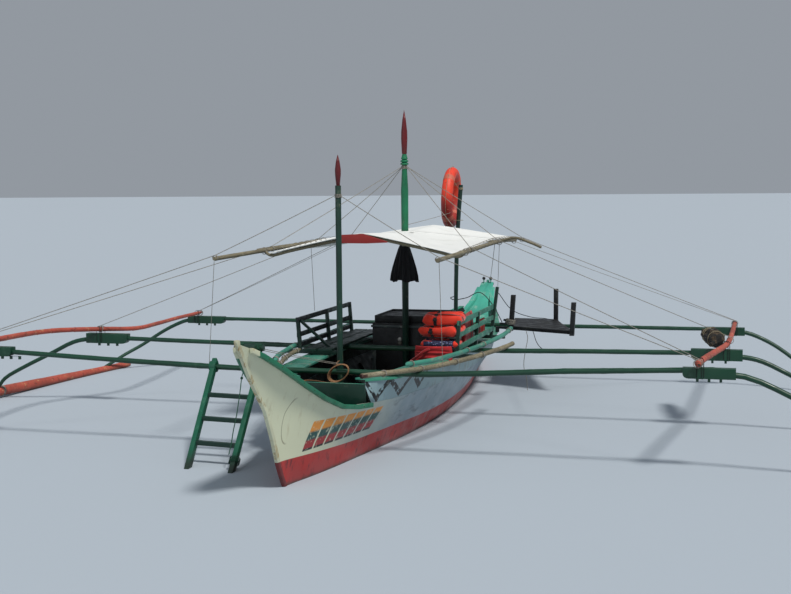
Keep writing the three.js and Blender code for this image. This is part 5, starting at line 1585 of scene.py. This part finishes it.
def add_lashings(looks):
    """Cords that bind the spars to the blocks, the poles to the beams and the arms to the floats"""
    shapes, bindings = [], []
    for row in BLOCKS:
        for side, mirror in SIDES.items():
            centre = np.array([row["x"], mirror * row[side], (row["spar"] + 0.03 + row["low"]) / 2])
            high = (row["spar"] + 0.031 - row["low"]) / 2 + 0.003
            for k, sign in enumerate((1, -1, 1)):
                across = unit((1, sign * 0.5, 0))
                step = np.array([0, 0.009 * (k - 1), 0])
                bindings.append(rope(loop(centre + step, across, (0, 0, 1), 0.056, high, 5), 0.0028, True))
    for side, mirror in SIDES.items():
        ties = {f"side_pole_{side}": (2.2, 1.04, 0.5, -0.7), f"bamboo_{side}": (2.8, 2.45, 1.9, 1.3)}
        for node, places in ties.items():
            rows = spine(node, 0, 60)
            if node == "bamboo_port":
                rows = smooth_path(BAMBOO, 0.02)[::-1]
            for x in places:
                at = np.array([np.interp(x, rows[:, 0], rows[:, k]) for k in range(3)])
                shapes.append(rope(helix(at, (1, 0, 0), 0.0285, 0.025, 4), 0.003))
        for x in (1.5, -0.25, -1.33):
            rows = smooth_path(AWNING_POLE, 0.02)
            y, z = (np.interp(-x, -rows[:, 0], rows[:, k]) for k in (1, 2))
            for sign in (1, -1):
                turn = loop((x, mirror * y, z - 0.004), (1, sign, 0), (0, 0, 1), 0.034, 0.034, 2.2)
                shapes.append(rope(turn, 0.003, True))
        for x in (2.43, 0.5, -1.84):
            rows = spine(f"float_{side}", 0, 60)
            at = np.array([np.interp(x, rows[:, 0], rows[:, k]) for k in range(3)])
            radius = float(np.interp(x, rows[:, 0], rows[:, 3]))
            for shift in (-0.07, 0.07):
                turns = helix(at + np.array([shift, 0, 0]), (1, 0, 0), radius + 0.004, 0.04, 5)
                shapes.append(rope(turns, 0.004))
    add_piece("lashings", shapes, looks["stay"])
    add_piece("block_lashings", bindings, looks["cord"])


def add_cords(looks):
    """Free ropes: a coil at the foremast, a loose end at the platform and three slack lines"""
    start, stop = 0.5 * math.pi, -6.5 * math.pi
    t = np.linspace(0, 1, 60)
    angle = start + (stop - start) * t
    across = 0.075 + (0.085 + 0.015 * t) * np.cos(angle)
    height = 0.745 + (0.07 + 0.005 * t) * np.sin(angle) + 0.35 * (across - 0.075)
    coil = np.column_stack([2.488 + 0.058 * t, across, height])
    lead = np.array([[2.2685, 0.0, 0.82], [2.35, 0.006, 0.814], [2.43, 0.028, 0.812], [2.47, 0.052, 0.815]])
    tail = np.array([[2.556, 0.03, 0.662], [2.59, -0.02, 0.668], [2.65, -0.09, 0.69], [2.72, -0.155, 0.703],
                     [2.79, -0.207, 0.692], [2.87, -0.26, 0.64]])
    path = smooth_path(np.vstack([lead, coil, tail]), 0.006)
    piece = add_piece("foremast_coil", [sweep(path, strand_outline() * 0.0065)], looks["brown"])
    line = [(-1.3, 1.115, 0.712), (-1.305, 1.13, 0.62), (-1.3, 1.1, 0.45), (-1.312, 1.085, 0.3),
            (-1.3, 1.12, 0.15), (-1.3, 1.13, 0.02)]
    path = smooth_path(line, 0.006)
    piece = add_piece("platform_loose_end", [sweep(path, strand_outline() * 0.004)], looks["stay"])
    line = [(-0.72, 0.9, 1.2), (-1.1, 0.98, 0.98), (-1.5, 1.12, 0.86), (-1.9, 1.24, 0.8), (-2.2, 1.3, 0.747)]
    path = smooth_path(line, 0.008)
    piece = add_piece("platform_slack_line", [sweep(path, strand_outline() * 0.0045)], looks["cord"])
    line = [(-1.32, 1.19, 0.713), (-0.75, 1.33, 0.645), (0, 1.53, 0.665), (0.497, 1.7, 0.744)]
    path = smooth_path(line, 0.008)
    piece = add_piece("platform_line", [sweep(path, strand_outline() * 0.0045)], looks["cord"])
    line = [(-2.59, -0.012, 0.99), (-2.62, -0.09, 0.965), (-2.63, -0.04, 0.94), (-2.62, 0.12, 0.97),
            (-2.6, 0.3, 1.04), (-2.42, 0.5, 0.9), (-2.3, 0.64, 0.7)]
    path = smooth_path(line, 0.008)
    piece = add_piece("aft_slack_line", [sweep(path, strand_outline() * 0.006)], looks["cord"])


def add_ladder(looks):
    """Ladder without the rung at the waterline, its lashing and the rope along it"""
    dress("ladder", [looks["ladder"], looks["dark"]], 0.004, rung_side, 46, 50,
          without=block((3.2, -1.017, -0.05), (3.45, -0.635, 0.05)))
    top, foot = np.array([2.45, -0.716, 0.75]), np.array([3.355, -0.612, 0.0])
    along = unit(foot - top)
    add_piece("ladder_lashing", [rope(helix(top + (foot - top) * 0.9, along, 0.045, 0.06, 5), 0.004)],
              looks["green_rope"], "boarding_ladder")
    lifted = np.array([0.024, 0, 0.029])
    line = [(2.484, -0.846, 0.742), (2.52, -0.838, 0.72)]
    places = {0.13: -0.12, 0.3: -0.096, 0.5: -0.074, 0.64: -0.066, 0.76: -0.054, 0.87: -0.049}
    for t, off in places.items():
        line.append(tuple(top + (foot - top) * t + np.array([0, off, 0]) + lifted))
    knot = np.array(line[2])
    add_piece("ladder_rope_knot", [rope(helix(knot, line[3] - knot, 0.0095, 0.02, 3), CORD)],
              looks["green_rope"], "boarding_ladder")
    add_piece("ladder_rope_turns", [rope(helix((2.45, -0.846, 0.749), (0, 1, 0), 0.0285, 0.012, 3), CORD)],
              looks["green_rope"])
    path = smooth_path(line, 0.006)
    strand = sweep(path, strand_outline() * 0.005)
    piece = add_piece("ladder_rope", [strand], looks["green_rope"], "boarding_ladder")


def rung_side(centre, normal):
    """Finish of the ladder: rails green, rungs dark"""
    share = (centre.x - 2.45) / 0.9
    inner, outer = -0.716 + 0.104 * share, -1.156 + 0.116 * share
    return 1 if outer + 0.05 < centre.y < inner - 0.05 else 0


def platform_point(along, across):
    """Place in the platform's plan, from fore 0 to aft 1 and from inner 0 to outer 1"""
    inner, outer = (np.array([PLATFORM[end][k] for end in ("fore", "aft")]) for k in (0, 1))
    fore, aft = inner * (1 - across) + outer * across
    return fore * (1 - along) + aft * along


def platform_slab(along, across, low, high):
    places = ((0, 0), (0, 1), (1, 1), (1, 0))
    return prism([platform_point(along[i], across[j]) for i, j in places], low, high)


def add_platform(looks):
    """Planks across on bearers, three posts with their cord and the foot on the cap"""
    top, under = PLATFORM["top"], PLATFORM["top"] - PLATFORM["thick"]
    count = PLATFORM["planks"]
    random = np.random.default_rng(SEED)
    shapes = []
    for k in range(count):
        across = (-0.01, 0.98 + float(random.uniform(0, 0.02)))
        shapes.append(platform_slab((k / count + 0.004, (k + 1) / count - 0.006), across, under, top))
    for at in PLATFORM["bearers"]:
        shapes.append(platform_slab((0.01, 0.99), (at - 0.025, at + 0.025), under - 0.025, under + 0.001))
    for at in PLATFORM["carriers"]:
        across = (PLATFORM["inboard"], 1)
        shapes.append(platform_slab((at - 0.02, at + 0.02), across, under - 0.024, under + 0.001))
    x, y = platform_point(PLATFORM["carriers"][0], PLATFORM["inboard"] * 0.9)
    shapes.append(block((x - 0.02, y - 0.02, 0.6552), (x + 0.02, y + 0.02, under - 0.001)))
    shapes.append(block((-2.224, 0.7, 0.69), (-2.176, 1.33, under - 0.001)))
    half = 0.0265
    for along, across, height, lean in PLATFORM_POSTS:
        x, y = platform_point(along, across)
        corners = [(x + i * half, y + j * half) for i, j in ((-1, -1), (1, -1), (1, 1), (-1, 1))]
        points, faces = prism(corners, under - 0.04, height)
        points[4:] += np.array([-0.004, lean, 0])
        shapes.append((points, faces))
    add_piece("platform_frame", shapes, looks["slat"], replaces=["aft_platform"], bevel=0.003)
    x, y = platform_point(*PLATFORM_POSTS[0][:2])
    turns = [rope(helix((x, y, top + 0.03 + 0.02 * k), (0, 0.1 * k, 1), 0.047 + 0.004 * k, 0.022, 3), CORD)
             for k in range(3)]
    add_piece("platform_turns", turns, looks["stay"])


def add_fittings(looks, tree):
    """Engine, its housing with ledges, hasp and hinges, stern knobs, bitt turns and nails"""
    x = -0.134
    dress("engine_housing", [looks["black"]], 0.003)
    dress("housing_lid", [looks["black"]], 0.003)
    dress("engine", [looks["iron"]], 0.02)
    ledges = [block((x + 0.0005, -0.41, z), (x + 0.022, 0.41, z + 0.024)) for z in (0.624, 0.856)]
    ledges += [block((x + 0.0005, y - 0.02, 0.03), (x + 0.014, y + 0.02, 0.62)) for y in (-0.38, 0.38)]
    add_piece("housing_ledges", ledges, looks["ledge"], bevel=0.003)
    hasp = [block((x + 0.0145, -0.105, 0.68), (x + 0.019, -0.065, 0.74)),
            block((x + 0.001, -0.098, 0.672), (x + 0.014, -0.072, 0.748))]
    shackle = loop((x + 0.026, -0.085, 0.7), (0, 1, 0), (0, 0, 1), 0.013, 0.018, 2, 24)[:-1]
    hasp.append(sweep(shackle, circle(8, 0.003), True))
    add_piece("housing_hasp", hasp, looks["steel"], bevel=0.001)
    straps = [block((-0.922, y - 0.02, 0.86), (-0.9045, y + 0.02, 0.904)) for y in (-0.22, 0.22)]
    for y in (-0.22, 0.22):
        straps.append(sweep([(-0.909, y - 0.02, 0.9135), (-0.909, y + 0.02, 0.9135)], circle(16, 0.0075)))
    add_piece("lid_hinges", straps, looks["iron"], bevel=0.001)
    knobs = [ball((-4.56, y, 1.075), 0.024) for y in (-0.05, 0.05)]
    stalks = [sweep([(-4.56, y, 1.02), (-4.56, y, 1.06)], circle(14, 0.009)) for y in (-0.05, 0.05)]
    add_piece("stern_knobs", knobs, looks["knob"])
    add_piece("stern_stalks", stalks, looks["stern"], bevel=0.001)
    turns = []
    for y in (-0.075, 0.075):
        centre = (4.33, y + BITT_SHIFT["y"], 1.176 + BITT_SHIFT["z"])
        turns.append(rope(helix(centre, (0, 1, 0), 0.0285, 0.06, 6), ROPE))
    add_piece("bitt_turns", turns, looks["green_rope"])
    add_nails(looks, tree)


def nail_shape(radius=0.004):
    profile = [(0.0001, -0.002), (radius, -0.002), (radius, 0.0006), (radius * 0.7, 0.0018),
               (0.0001, 0.0024)]
    sides = 10
    rings = [[(x, y, z) for x, y in circle(sides, r)] for r, z in profile]
    return np.array(rings).reshape(-1, 3), grid_faces(len(rings), sides, False)


def add_nails(looks, tree):
    """Nail heads on the caps, decks, benches, rails, platform and housing"""
    places, facings = [], []
    nodes = [f"{kind}_{side}" for kind in ("bench", "side_deck", "washboard", "bow_rail") for side in SIDES]
    targets = {node: surface(node) for node in nodes + ["engine_housing"]}
    rail = spine("bow_rail_port", 0, 30)

    def poke(node, start, direction):
        hit, normal = targets[node].ray_cast(Vector(start), Vector(direction))[:2]
        if hit is not None:
            places.append(hit)
            facings.append(normal)

    def drop(node, x, y, z):
        poke(node, (x, y, z), (0, 0, -1))

    for side, mirror in SIDES.items():
        for x in (1.04, 0.5, 0.12, -0.7):
            for y in (0.5, 0.59, 0.65, 0.75):
                drop(f"bench_{side}", x + 0.02, mirror * y, 0.79)
        for x in (1.04, 0.12, -0.7):
            for z in (0.8, 0.9, 1.04, 1.06):
                poke(f"bench_{side}", (x, mirror * 0.5, z), (0, mirror, 0))
        for x in np.arange(-2.5, 2.5, 0.21):
            for inset in (0.09, 0.22):
                drop(f"side_deck_{side}", x, mirror * (cap_half(x) - inset), 0.8)
        for x in np.arange(-3.7, 2.6, 0.24):
            drop(f"washboard_{side}", x, mirror * (cap_half(x) - 0.03), 0.8)
        for x in np.arange(2.9, 4.4, 0.16):
            rail_z = float(np.interp(x, rail[:, 0], rail[:, 2]))
            poke(f"bow_rail_{side}", (x, mirror * 0.9, rail_z), (0, -mirror, 0))
    for k in range(PLATFORM["planks"]):
        for across in PLATFORM["bearers"]:
            x, y = platform_point((k + 0.5) / PLATFORM["planks"], across)
            places.append(Vector((x, y, PLATFORM["top"])))
            facings.append(Vector((0, 0, 1)))
    for z in (0.1, 0.3, 0.5, 0.7, 0.8):
        for y in np.linspace(-0.36, 0.36, 7):
            poke("engine_housing", (0.2, y, z), (-1, 0, 0))
    repeat("nail_heads", tree, nail_shape(), [p[:] for p in places], [f[:] for f in facings], looks["nail"])


def cap_half(x):
    places = [-3.9, -3.6, -3.0, -2.2, -1.0, 0, 1.0, 1.8, 2.2, 2.5, 2.72]
    halves = [0.248, 0.33, 0.46, 0.632, 0.78, 0.8, 0.765, 0.7, 0.655, 0.592, 0.385]
    return float(np.interp(x, places, halves))


def add_underwater(looks):
    dress("propeller_shaft", [looks["steel"]], 0)
    dress("propeller", [looks["bronze"]], 0.002, None, 50)
    dress("rudder", [looks["dark"]], 0.004, None, 46, 50)


# Stage
def add_stage():
    scene = bpy.context.scene
    world = bpy.data.worlds.new("world")
    scene.world = world
    world.use_nodes = True
    background = world.node_tree.nodes["Background"]
    background.inputs["Color"].default_value = (0.72, 0.79, 0.88, 1)
    background.inputs["Strength"].default_value = 0.4
    for name, strength, angle, aim, colour in (("key", 2.9, 9, (-0.42, -0.5, -1), (1, 0.97, 0.92)),
                                               ("fill", 0.3, 40, (-1, 0.35, -0.5), (0.86, 0.93, 1))):
        lamp = bpy.data.lights.new(name, "SUN")
        lamp.energy = strength
        lamp.angle = math.radians(angle)
        lamp.color = colour
        made = bpy.data.objects.new(name, lamp)
        made.rotation_euler = Vector(aim).to_track_quat("-Z", "Y").to_euler()
        scene.collection.objects.link(made)
    look = Look("floor_finish")
    material = look.finish(rgb(168, 178, 188), 0.85)
    corners = [(-FLOOR_HALF, -FLOOR_HALF, 0), (FLOOR_HALF, -FLOOR_HALF, 0), (FLOOR_HALF, FLOOR_HALF, 0),
               (-FLOOR_HALF, FLOOR_HALF, 0)]
    floor = add_mesh("floor", corners, [[0, 1, 2, 3]], material)
    scene.view_settings.view_transform = "Standard"
    scene.view_settings.look = "None"


add_camera()
tree = repeats_tree()
looks = add_looks()
add_awning(looks, tree)
add_mast_cloth(looks)
add_vests(looks)
add_net(looks)
add_hull(looks)
add_poles(looks)
add_masts(looks)
add_lifebuoy(looks)
add_stays(looks)
add_lashings(looks)
add_cords(looks)
add_ladder(looks)
add_fittings(looks, tree)
add_platform(looks)
add_underwater(looks)
add_stage()
